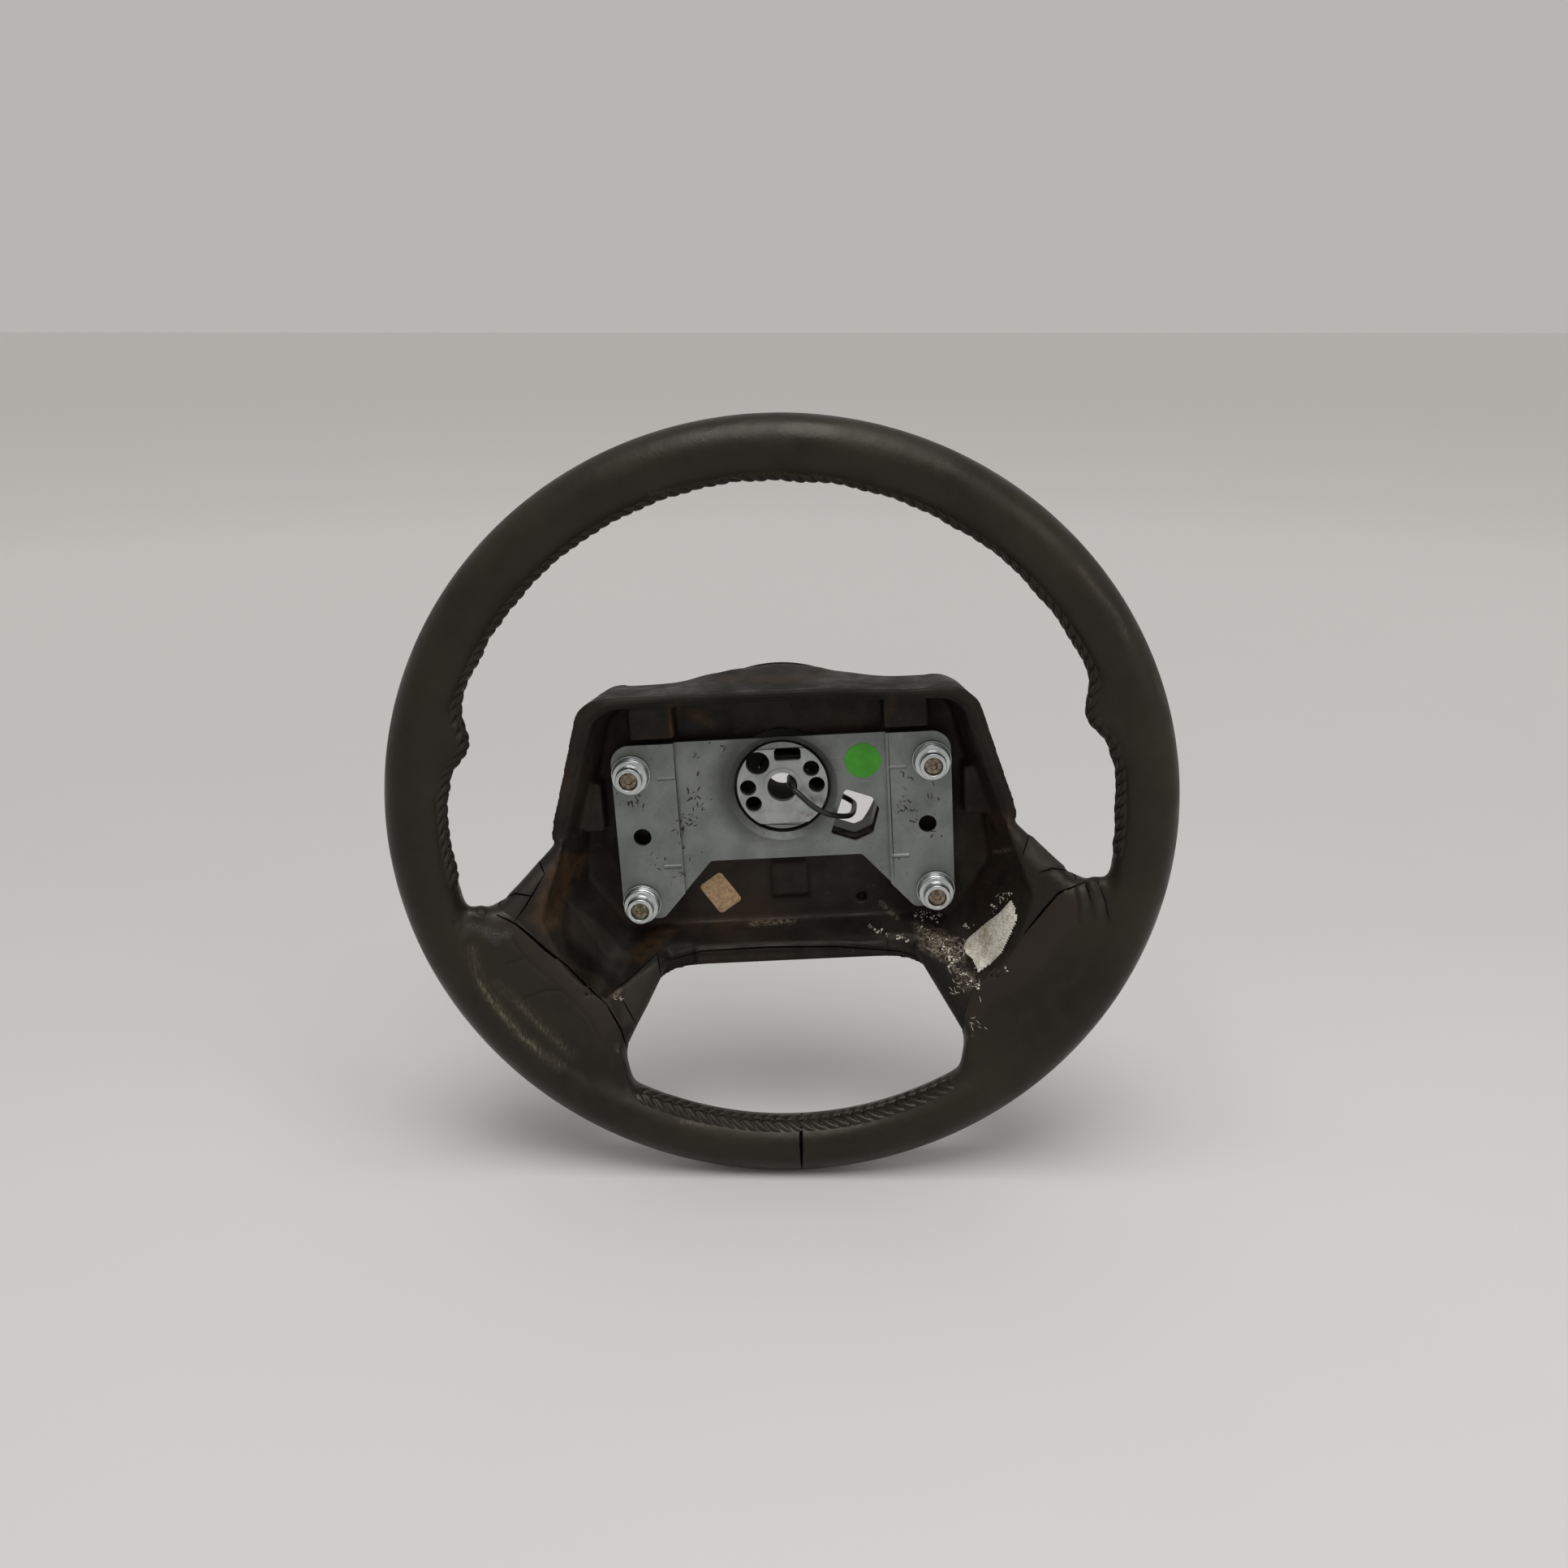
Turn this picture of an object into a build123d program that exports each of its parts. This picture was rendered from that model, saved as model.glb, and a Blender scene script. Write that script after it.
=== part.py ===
from build123d import *
from math import cos, degrees, radians, sin, tan
import os

# Car steering wheel with the airbag module taken out, in millimetres.
# The wheel's axis is Y. The driver sits on the -Y side, 12 o'clock is +Z.
# The origin is on the axis, at the front face of the steel hub.

# Rim
RIM_DIAMETER = 385.0
GRIP_DIAMETER = 29.0
GRIP_BACK_DEPTH = 13.6
RIM_FORWARD = 50.0
LEATHER = 1.2
GLUE_LINE = 0.15
RING_TUBE = 12.0
RING_WALL = 1.8
THUMB_ANGLE = 17.0
THUMB_PLACES = (26.0, 15.0, 7.0, 0.0, -8.0, -18.0, -30.0)
THUMB_RISES = (-2.0, 1.4, 5.8, 8.6, 6.8, 2.0, -2.0)
THUMB_ROOT = 8.0
THUMB_HALF_DEPTH = 11.5
STITCH_PITCH = 5.8
STITCH_LENGTH = 4.6
STITCH_WIDTH = 1.0
STITCH_HEIGHT = 0.7
STITCH_SLANT = 32.0
STITCH_ZONES = ((-11.0, 5.0), (28.0, 152.0), (175.0, 191.0), (239.0, 301.0))

# Spokes, as sections square to a line that falls outwards from the hub
SPOKE_FALL = 33.5
SPOKE_ROUND = 9.0
SPOKE_START = 100.0
SPOKE_STEPS = (56.0, 30.0, 6.0)
SPOKE_LOWER = (-38.0, -48.0, -60.5, -74.0)
SPOKE_UPPER = (54.0, 51.5, 50.0, 62.0)
SPOKE_FRONT = (-27.0, -41.0, -54.5, -60.0)
SPOKE_BACK = (14.0, 11.0, -16.0, -40.0)
SPOKE_DRAFT = 0.36
# Line where the leather's edge is tucked in, as (distance inside the rim's centre line, height over the spoke's)
TUCK_CORNERS = ((105.6, 71.9), (33.3, 51.4), (40.3, 34.8), (41.8, 17.0), (43.8, -7.1),
                (49.0, -27.3), (44.2, -44.5), (36.7, -57.6))

# Moulded tray: corners of the right half, from the top round to the bottom, as (x beyond the plate's edge, z)
PLATE_HALF_WIDTH = 87.0
LIP_DEPTH = -24.3
LIP_LEAN = 5.4
TRAY_BACK = 12.0
TRAY_FLOOR = 5.0
MOUTH_FRONT = -66.0
TRAY_FRONT_CORNERS = ((10.0, 58.5), (32.0, -14.0), (-5.0, -106.0), (-25.0, -94.0), (-47.0, -90.5))
TRAY_BACK_CORNERS = ((5.0, 55.5), (18.0, -12.0), (-15.0, -84.0), (-31.0, -78.0), (-49.0, -76.0))
TRAY_CORNER_RADII = (15.0, 14.0, 6.0, 12.0, 30.0)
MOUTH_CORNERS = ((5.0, 55.0), (26.0, -14.0), (41.0, -52.0), (19.0, -102.0), (-27.0, -84.0))
LIP_CORNERS = ((3.0, 53.0), (24.0, -14.0), (30.0, -46.0), (9.0, -88.0), (-27.0, -80.0))
FLOOR_CORNERS = ((-2.0, 47.0), (14.0, -12.0), (19.0, -46.0), (-1.0, -76.0), (-31.0, -75.5))
CAVITY_RADII = (16.0, 12.0, 10.0, 8.0, 12.0)
LIP_REBATE = 2.4
LIP_REBATE_DEPTH = 2.0
BEAD_RADIUS = 2.4
BEAD_HALF_LENGTH = 50.0
BEAD_HEIGHTS = (-82.6, -88.2)

# Blocks moulded up from the tray floor, as (x low, x high, z low, z high, y of the top)
TOP_BLOCK = (PLATE_HALF_WIDTH - 34.0, PLATE_HALF_WIDTH - 11.0, 31.0, 49.0, -9.0)
SIDE_BLOCK = (PLATE_HALF_WIDTH + 6.0, PLATE_HALF_WIDTH + 17.0, -18.0, 8.0, -7.0)
CENTRE_BLOCK = (-8.5, 10.5, -62.0, -43.0, 2.6)
FLOOR_HOLE_PLACE = (38.5, -65.5)
FLOOR_HOLE_RADIUS = 2.75
FLOOR_HOLE_DEPTH = 5.0

# Round collar behind the tray, and the hump of the tray's top that leads to it
HUMP_FRONT = -22.0
HUMP_FRONT_RADIUS = 55.0
COLLAR_FRONT_RADIUS = 63.0
COLLAR_BACK_RADIUS = 56.5
COLLAR_BACK = 34.0
COLLAR_WALL = 4.5
COLLAR_FOOT = 8.0
HUB_WELL_RADIUS = 29.0
WELL_WALL = 3.0
RIB_COUNT = 8
RIB_THICK = 3.0
RIB_BACK = 20.0

# Hub
HUB_RADIUS = 23.5
HUB_DISC = 6.5
HUB_FLAT = 20.0
HUB_FLAT_STEP = 1.5
NECK_RADIUS = 13.0
HUB_BACK = 36.0
BORE_RADIUS = 7.75
BORE_RIM_RADIUS = 10.0
BORE_RIM_HEIGHT = 1.2
SOCKET_RADIUS = 9.5
SOCKET_START = 12.0
PULLER_CIRCLE = 17.75
PULLER_HOLE_RADIUS = 4.2
PULLER_ANGLES = (0.0, 30.0, 180.0, 210.0)
LARGE_HOLE_RADIUS = 6.1
LARGE_HOLE_ANGLE = 133.0
HUB_SLOT_LENGTH = 13.7
HUB_SLOT_WIDTH = 6.4
HUB_SLOT_PLACE = (3.5, 17.0)

# Steel frame
FRAME_THICK = 3.0
FRAME_CORNERS = ((2.0, 23.0), (2.0, -30.0), (1.0, -70.0), (-21.0, -71.0), (-47.0, -36.0))
FRAME_CORNER_RADII = (8.0, 20.0, 8.0, 8.0, 10.0)
ARM_WIDTH = 30.0
ARM_THICK = 4.0
ARM_START = 62.0
ARM_BEND = 116.0
ARM_LEVEL = 36.0
ARM_DEPTHS = (8.0, 8.0, -36.0, -50.0)

# Horn plate
PLATE_THICK = 2.0
PLATE_FRONT = -2.5
WING_STEP = 2.5
FOLD_X = 55.0
PLATE_TOP = 27.3
PLATE_BOTTOM = -38.2
WING_BOTTOM = -68.0
NOTCH_INNER = 39.5
NOTCH_INSET = 21.0
PLATE_ROUND = 10.0
HUB_HOLE_RADIUS = 25.0
DISH_RADIUS = 28.5
DISH_DEPTH = 2.4
WIRE_HOLE = ((32.2, -2.2), (46.0, -7.4), (49.6, -14.0), (45.8, -27.2), (36.4, -31.2), (23.6, -26.4))
WIRE_HOLE_ROUND = 2.0
PASSAGE_BACK = 26.0
PASSAGE_WALL = 3.0
WING_HOLE_X = PLATE_HALF_WIDTH - 13.0
WING_HOLE_Z = -22.5
WING_HOLE_RADIUS = 4.65
DART_HEIGHTS = (9.0, -39.4)
DART_LENGTH = 9.0
DART_RADIUS = 1.3
DOT_PLACE = (42.0, 12.6)
DOT_RADIUS = 9.2
STICKER = 0.25
LABEL_PLACE = (-36.3, -59.2)
LABEL_SIZE = (14.2, 19.4)
LABEL_TURN = 33.5
LABEL_ROUND = 2.0

# Corner stacks that hold the horn plate out against its springs
STACK_X = PLATE_HALF_WIDTH - 10.0
STACK_TOP_Z = 12.3
STACK_LOW_Z = -58.5
HORN_TRAVEL = 2.0
BOSS_RADIUS = 10.5
BUSH_FLANGE_RADIUS = 9.6
BUSH_FLANGE = 0.8
BUSH_RADIUS = 7.5
BUSH_BORE = 5.9
STOP_ROOM = 0.2
PRESS_ROOM = 0.1
WASHER_RADIUS = 10.0
WASHER = 1.5
WASHER_DISH = 0.5
SHANK_RADIUS = 5.5
SLEEVE_BODY_RADIUS = 7.2
SLEEVE_BODY = 4.2
MID_FLANGE_RADIUS = 9.0
MID_FLANGE = 1.5
SLEEVE_HEAD_RADIUS = 6.75
SLEEVE_HEAD = 6.0
SLEEVE_RECESS_RADIUS = 4.7
SLEEVE_RECESS = 5.0
SCREW_RADIUS = 3.0
SCREW_ROOM = 0.15
SCREW_HEAD_RADIUS = 4.4
SCREW_HEAD = 3.2
SCREW_BITE = 4.0
DRIVE_RADIUS = 2.4
DRIVE_DEPTH = 1.8
SPRING_RADIUS = 8.7
SPRING_WIRE = 1.2
SPRING_TURNS = 2.5
RIVET_PLACE = (31.0, 16.0)
RIVET_RADIUS = 3.0
RIVET_GAP = 2.3

# Slip ring behind the hub and the horn lead
CARRIER_FRONT = 27.0
CARRIER_BACK = 31.0
CARRIER_RADIUS = 30.0
SLIP_INNER = 19.0
SLIP_OUTER = 25.0
SLIP_THICK = 1.2
LUG_ANGLE = -28.0
LUG_REACH = 33.5
LUG_WIDTH = 7.0
LEAD_DIAMETER = 2.9
TERMINAL_RADIUS = 2.3
TERMINAL_LENGTH = 11.0
LEAD_START = ((4.6, -2.0, 1.6), (4.6, -7.0, 1.6), (9.0, -10.0, -1.8), (15.2, -10.8, -8.2),
              (21.6, -9.2, -12.8), (27.4, -5.4, -15.8), (33.2, 1.0, -18.4), (35.8, 10.0, -20.0),
              (36.9, 20.0, -20.2))
LEAD_LAST_RUN = 8.4
LEAD_BEND = 0.45

GRIP_RADIUS = GRIP_DIAMETER / 2
RIM_RADIUS = RIM_DIAMETER / 2 - GRIP_RADIUS
WING_FRONT = PLATE_FRONT - WING_STEP
WING_BACK = WING_FRONT + PLATE_THICK
PLATE_BACK = PLATE_FRONT + PLATE_THICK
FRAME_FRONT = HUB_DISC
WASHER_BACK = WING_FRONT - BUSH_FLANGE
WASHER_FRONT = WASHER_BACK - WASHER
MID_BACK = WASHER_FRONT - SLEEVE_BODY
MID_FRONT = MID_BACK - MID_FLANGE
SLEEVE_FRONT = MID_FRONT - SLEEVE_HEAD
SLEEVE_SEAT = SLEEVE_FRONT + SLEEVE_RECESS
STACKS = {"upper_left": (-STACK_X, STACK_TOP_Z), "upper_right": (STACK_X, STACK_TOP_Z),
          "lower_left": (-STACK_X, STACK_LOW_Z), "lower_right": (STACK_X, STACK_LOW_Z)}
LUG_OUT = Vector(cos(radians(LUG_ANGLE)), 0, sin(radians(LUG_ANGLE)))
LUG_FACE = LUG_OUT * LUG_REACH + Vector(0, (CARRIER_FRONT + CARRIER_BACK) / 2, 0)
LEAD_ROUTE = (*LEAD_START, tuple(LUG_FACE + LUG_OUT * LEAD_LAST_RUN), tuple(LUG_FACE))
SPOKE_STATIONS = (SPOKE_START, *(RIM_RADIUS - step for step in SPOKE_STEPS))
ARM_STATIONS = (ARM_START, ARM_BEND, RIM_RADIUS - ARM_LEVEL, RIM_RADIUS)
SPOKE_OUT = Vector(cos(radians(SPOKE_FALL)), 0, -sin(radians(SPOKE_FALL)))
SPOKE_UP = Vector(sin(radians(SPOKE_FALL)), 0, cos(radians(SPOKE_FALL)))

os.makedirs("parts", exist_ok=True)


def face_plane(y):
    """Plane square to the axis at depth y, drawn as the driver sees it."""
    return Plane(origin=(0, y, 0), x_dir=(1, 0, 0), z_dir=(0, -1, 0))


def lip_plane():
    """Plane of the tray's front lip, which leans back towards the bottom."""
    lean = radians(LIP_LEAN)
    return Plane(origin=(0, LIP_DEPTH, 0), x_dir=(1, 0, 0), z_dir=(0, -cos(lean), -sin(lean)))


def mirrored(corners):
    """Whole outline from the corners of its right half."""
    return list(corners) + [(-x, z) for x, z in reversed(corners)]


def beside_plate(corners):
    """Corners given from the horn plate's edge, as (x, z)."""
    return [(PLATE_HALF_WIDTH + beyond, z) for beyond, z in corners]


def tuck_outline():
    """Corners of the leather's edge on the right spoke, as (x, z)."""
    points = [SPOKE_OUT * (RIM_RADIUS - inside) + SPOKE_UP * height for inside, height in TUCK_CORNERS]
    return [(point.X, point.Z) for point in points]


def rounded_outline(plane, corners, radii, grow=0.0):
    """Face with rounded corners, symmetrical about the wheel's upright plane."""
    with BuildSketch(plane) as sketch:
        with BuildLine():
            FilletPolyline(*mirrored(beside_plate(corners)), radius=list(radii) + list(reversed(radii)),
                           close=True)
        make_face()
        if grow:
            offset(amount=grow, kind=Kind.INTERSECTION)
    return sketch.sketch


def turned_face(profile, centre=(0.0, 0.0)):
    """Half section to turn about a line along Y through centre, from (radius, y) points."""
    with BuildSketch(Plane(origin=(centre[0], 0, centre[1]))) as sketch:
        with BuildLine():
            Polyline(*profile, close=True)
        make_face()
    return sketch.sketch


def axis_at(centre=(0.0, 0.0)):
    return Axis((centre[0], 0, centre[1]), (0, 1, 0))


def disc_face(y, radius, centre=(0.0, 0.0)):
    """Round face square to the axis."""
    with BuildSketch(face_plane(y)) as sketch:
        with Locations(centre):
            Circle(radius)
    return sketch.sketch


def wire_hole_face(y, grow=0.0):
    """Outline of the six sided wiring hole."""
    with BuildSketch(face_plane(y)) as sketch:
        with BuildLine():
            FilletPolyline(*WIRE_HOLE, radius=WIRE_HOLE_ROUND, close=True)
        make_face()
        if grow:
            offset(amount=grow)
    return sketch.sketch


def hub_holes_face(y):
    """Four small holes, one large hole and one slot round the hub's bore."""
    with BuildSketch(face_plane(y)) as sketch:
        for angle in PULLER_ANGLES:
            with PolarLocations(PULLER_CIRCLE, 1, start_angle=angle):
                Circle(PULLER_HOLE_RADIUS)
        with PolarLocations(PULLER_CIRCLE, 1, start_angle=LARGE_HOLE_ANGLE):
            Circle(LARGE_HOLE_RADIUS)
        with Locations(HUB_SLOT_PLACE):
            RectangleRounded(HUB_SLOT_LENGTH, HUB_SLOT_WIDTH, HUB_SLOT_WIDTH / 4)
    return sketch.sketch


def ring_face(radius):
    """Section of the steel ring at 3 o'clock."""
    with BuildSketch(Plane.XY) as sketch:
        with Locations((RIM_RADIUS, -RIM_FORWARD)):
            Circle(radius)
    return sketch.sketch


def grip_face(inset):
    """Section of the rim at 3 o'clock: round towards the driver, a little flatter behind."""
    centre = (RIM_RADIUS, -RIM_FORWARD)
    with BuildSketch(Plane.XY) as sketch:
        with BuildLine():
            EllipticalCenterArc(centre, GRIP_RADIUS - inset, GRIP_BACK_DEPTH - inset,
                                start_angle=0, arc_size=180)
            CenterArc(centre, GRIP_RADIUS - inset, 180, 180)
        make_face()
    return sketch.sketch


def spoke_sections(grow=0.0):
    """Sections of the right spoke, from the tray out into the rim."""
    sections = []
    for out, low, high, front, back in zip(SPOKE_STATIONS, SPOKE_LOWER, SPOKE_UPPER, SPOKE_FRONT, SPOKE_BACK):
        fall = SPOKE_DRAFT * (back - front)
        with BuildSketch(Plane(origin=SPOKE_OUT * out, x_dir=SPOKE_UP, z_dir=SPOKE_OUT * -1)) as section:
            with BuildLine():
                FilletPolyline((low, front), (high, front), (high - fall, back), (low + fall / 2, back),
                               radius=SPOKE_ROUND, close=True)
            make_face()
            if grow:
                offset(amount=grow)
        sections.append(section.sketch)
    return sections


def thumb_sections(inset):
    """Oval sections of the right thumb rest, square to the rim, which rise from its inside and sink back."""
    sections = []
    for place, rise in zip(THUMB_PLACES, THUMB_RISES):
        angle = radians(THUMB_ANGLE) + place / (RIM_RADIUS - GRIP_RADIUS)
        outwards = Vector(cos(angle), 0, sin(angle))
        along = Vector(-sin(angle), 0, cos(angle))
        half_width = (THUMB_ROOT + GRIP_RADIUS + rise) / 2
        centre = outwards * (RIM_RADIUS + THUMB_ROOT - half_width) + Vector(0, -RIM_FORWARD, 0)
        with BuildSketch(Plane(origin=centre, x_dir=outwards, z_dir=along)) as section:
            Ellipse(half_width - inset, THUMB_HALF_DEPTH - inset)
        sections.append(section.sketch)
    return sections


def box_between(low, high):
    """Centre and size of the box between two corners."""
    centre = tuple((a + b) / 2 for a, b in zip(low, high))
    size = tuple(b - a for a, b in zip(low, high))
    return centre, size


def rim_envelope(inset):
    """Rim and thumb rests as one solid, inset from the outside of the leather."""
    with BuildPart() as envelope:
        loft(thumb_sections(inset))
        mirror(about=Plane.YZ)
        revolve(grip_face(inset), axis=Axis.Y)
    return envelope.part


def spoke_pair(inset):
    """Both spokes, inset from the outside of the leather."""
    with BuildPart() as spokes:
        loft(spoke_sections(grow=LEATHER + GLUE_LINE - inset))
        mirror(about=Plane.YZ)
    return spokes.part


def wheel_envelope(inset):
    """Rim, spokes and thumb rests as one solid, inset from the outside of the leather."""
    with BuildPart() as envelope:
        add(spoke_pair(inset))
        add(rim_envelope(inset))
    return envelope.part


def steel_frame(room=0.0):
    """Pressed frame with four bosses and two bent arms, or the room that it takes in the moulding."""
    with BuildPart() as frame:
        arm_plane = Plane(origin=(0, 0, 0), x_dir=SPOKE_OUT, z_dir=SPOKE_UP)
        upper = [(out, y - ARM_THICK / 2 - room) for out, y in zip(ARM_STATIONS, ARM_DEPTHS)]
        lower = [(out, y + ARM_THICK / 2 + room) for out, y in zip(ARM_STATIONS, ARM_DEPTHS)]
        with BuildSketch(arm_plane) as arm:
            with BuildLine():
                Polyline(*upper, *reversed(lower), close=True)
            make_face()
        extrude(arm.sketch, amount=ARM_WIDTH / 2 + room, both=True)
        mirror(about=Plane.YZ)
        outline = rounded_outline(face_plane(FRAME_FRONT - room), FRAME_CORNERS, FRAME_CORNER_RADII, room)
        extrude(outline, amount=-(FRAME_THICK + 2 * room))
        for centre in STACKS.values():
            boss = disc_face(TRAY_FLOOR, BOSS_RADIUS + room, centre)
            extrude(boss, amount=-(FRAME_FRONT - TRAY_FLOOR + room))
    return frame.part


# Rim ring
with BuildPart() as rim_ring:
    revolve(ring_face(RING_TUBE / 2), axis=Axis.Y)
    revolve(ring_face(RING_TUBE / 2 - RING_WALL), axis=Axis.Y, mode=Mode.SUBTRACT)
rim_ring.part.label = "rim_ring"
export_step(rim_ring.part, "parts/rim_ring.step")

# Steel frame
with BuildPart() as spoke_frame:
    add(steel_frame())
    revolve(ring_face(RING_TUBE / 2 + GLUE_LINE), axis=Axis.Y, mode=Mode.SUBTRACT)
    extrude(disc_face(FRAME_FRONT, NECK_RADIUS + GLUE_LINE), amount=-FRAME_THICK, mode=Mode.SUBTRACT)
    extrude(wire_hole_face(FRAME_FRONT, PASSAGE_WALL), amount=-FRAME_THICK, mode=Mode.SUBTRACT)
    extrude(hub_holes_face(FRAME_FRONT), amount=-FRAME_THICK, mode=Mode.SUBTRACT)
    for centre in STACKS.values():
        hole = disc_face(TRAY_FLOOR, SCREW_RADIUS + SCREW_ROOM, centre)
        extrude(hole, amount=-(FRAME_FRONT + FRAME_THICK - TRAY_FLOOR), mode=Mode.SUBTRACT)
spoke_frame.part.label = "spoke_frame"
export_step(spoke_frame.part, "parts/spoke_frame.step")

# Hub
with BuildPart() as hub_boss:
    revolve(turned_face(((BORE_RADIUS, -BORE_RIM_HEIGHT), (BORE_RIM_RADIUS, -BORE_RIM_HEIGHT),
                         (BORE_RIM_RADIUS, 0), (HUB_RADIUS, 0), (HUB_RADIUS, HUB_DISC),
                         (NECK_RADIUS, HUB_DISC), (NECK_RADIUS, HUB_BACK), (SOCKET_RADIUS, HUB_BACK),
                         (SOCKET_RADIUS, SOCKET_START), (BORE_RADIUS, SOCKET_START))), axis=Axis.Y)
    with BuildSketch(face_plane(0)) as flats:
        with Locations((0, HUB_FLAT + HUB_RADIUS / 2), (0, -HUB_FLAT - HUB_RADIUS / 2)):
            Rectangle(2 * HUB_RADIUS, HUB_RADIUS)
    extrude(flats.sketch, amount=-HUB_FLAT_STEP, mode=Mode.SUBTRACT)
    extrude(hub_holes_face(0), amount=-HUB_DISC, mode=Mode.SUBTRACT)
hub_boss.part.label = "hub_boss"
export_step(hub_boss.part, "parts/hub_boss.step")

# Rim core, the moulding round the ring
with BuildPart() as rim_core:
    add(rim_envelope(LEATHER + GLUE_LINE))
    revolve(ring_face(RING_TUBE / 2 + GLUE_LINE), axis=Axis.Y, mode=Mode.SUBTRACT)
    add(steel_frame(room=GLUE_LINE), mode=Mode.SUBTRACT)
rim_core.part.label = "rim_core"
export_step(rim_core.part, "parts/rim_core.step")

# Moulded body: spokes and tray, ending at the rim core
with BuildPart() as moulded_body:
    add(spoke_pair(LEATHER + GLUE_LINE))
    tray_front = rounded_outline(lip_plane(), TRAY_FRONT_CORNERS, TRAY_CORNER_RADII)
    tray_back = rounded_outline(face_plane(TRAY_BACK), TRAY_BACK_CORNERS, TRAY_CORNER_RADII)
    loft((tray_front, tray_back), ruled=True)
    revolve(turned_face(((0, HUMP_FRONT), (HUMP_FRONT_RADIUS, HUMP_FRONT), (COLLAR_FRONT_RADIUS, COLLAR_FOOT),
                         (COLLAR_FRONT_RADIUS, TRAY_BACK), (0, TRAY_BACK))), axis=Axis.Y)
    for height in BEAD_HEIGHTS:
        bead_place = (0, LIP_DEPTH - height * tan(radians(LIP_LEAN)), height)
        with Locations(Location(bead_place, (0, 90, 0))):
            Cylinder(BEAD_RADIUS, 2 * BEAD_HALF_LENGTH)
    lip_mouth = rounded_outline(lip_plane(), LIP_CORNERS, CAVITY_RADII)
    loft((rounded_outline(face_plane(MOUTH_FRONT), MOUTH_CORNERS, CAVITY_RADII), lip_mouth),
         ruled=True, mode=Mode.SUBTRACT)
    loft((lip_mouth, rounded_outline(face_plane(TRAY_FLOOR), FLOOR_CORNERS, CAVITY_RADII)),
         ruled=True, mode=Mode.SUBTRACT)
    rebate = rounded_outline(lip_plane(), LIP_CORNERS, CAVITY_RADII, LIP_REBATE)
    extrude(rebate, amount=-LIP_REBATE_DEPTH, mode=Mode.SUBTRACT)
    for side in (1, -1):
        for low_x, high_x, low_z, high_z, top in (TOP_BLOCK, SIDE_BLOCK):
            centre, size = box_between((low_x, top, low_z), (high_x, TRAY_FLOOR, high_z))
            with Locations((side * centre[0], centre[1], centre[2])):
                Box(*size)
    low_x, high_x, low_z, high_z, top = CENTRE_BLOCK
    centre, size = box_between((low_x, top, low_z), (high_x, TRAY_FLOOR, high_z))
    with Locations(centre):
        Box(*size)
    extrude(wire_hole_face(MOUTH_FRONT), amount=-(TRAY_BACK - MOUTH_FRONT), mode=Mode.SUBTRACT)
    extrude(disc_face(MOUTH_FRONT, HUB_WELL_RADIUS), amount=-(TRAY_BACK - MOUTH_FRONT), mode=Mode.SUBTRACT)
    floor_hole = disc_face(TRAY_FLOOR, FLOOR_HOLE_RADIUS, FLOOR_HOLE_PLACE)
    extrude(floor_hole, amount=-FLOOR_HOLE_DEPTH, mode=Mode.SUBTRACT)
    add(rim_envelope(LEATHER + GLUE_LINE), mode=Mode.SUBTRACT)
    add(steel_frame(room=GLUE_LINE), mode=Mode.SUBTRACT)
    for side in (1, -1):
        rivet_hole = disc_face(TRAY_FLOOR, RIVET_RADIUS + GLUE_LINE, (side * RIVET_PLACE[0], RIVET_PLACE[1]))
        extrude(rivet_hole, amount=-(FRAME_FRONT - TRAY_FLOOR), mode=Mode.SUBTRACT)
moulded_body.part.label = "moulded_body"
export_step(moulded_body.part, "parts/moulded_body.step")

# Rear collar, a ribbed shell behind the tray
with BuildPart() as rear_collar:
    with BuildSketch(face_plane(TRAY_BACK)) as ribs:
        with PolarLocations(COLLAR_BACK_RADIUS / 2, RIB_COUNT, start_angle=180 / RIB_COUNT):
            Rectangle(COLLAR_BACK_RADIUS - COLLAR_WALL / 2, RIB_THICK)
        Circle(HUB_WELL_RADIUS + WELL_WALL)
    extrude(ribs.sketch, amount=-(RIB_BACK - TRAY_BACK))
    revolve(turned_face(((COLLAR_FRONT_RADIUS - COLLAR_WALL, TRAY_BACK), (COLLAR_FRONT_RADIUS, TRAY_BACK),
                         (COLLAR_BACK_RADIUS, COLLAR_BACK), (COLLAR_BACK_RADIUS - COLLAR_WALL, COLLAR_BACK))),
            axis=Axis.Y)
    extrude(wire_hole_face(TRAY_BACK, PASSAGE_WALL), amount=-(PASSAGE_BACK - TRAY_BACK))
    extrude(wire_hole_face(TRAY_BACK), amount=-(PASSAGE_BACK - TRAY_BACK), mode=Mode.SUBTRACT)
    extrude(disc_face(TRAY_BACK, HUB_WELL_RADIUS), amount=-(COLLAR_BACK - TRAY_BACK), mode=Mode.SUBTRACT)
rear_collar.part.label = "rear_collar"
export_step(rear_collar.part, "parts/rear_collar.step")

# Leather cover
with BuildPart() as leather_cover:
    add(wheel_envelope(0.0))
    add(wheel_envelope(LEATHER), mode=Mode.SUBTRACT)
    with BuildSketch(face_plane(-RIM_DIAMETER)) as tuck:
        with BuildLine():
            Polyline(*mirrored(tuck_outline()), close=True)
        make_face()
    extrude(tuck.sketch, amount=-2 * RIM_DIAMETER, mode=Mode.SUBTRACT)
leather_cover.part.label = "leather_cover"
export_step(leather_cover.part, "parts/leather_cover.step")


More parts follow.
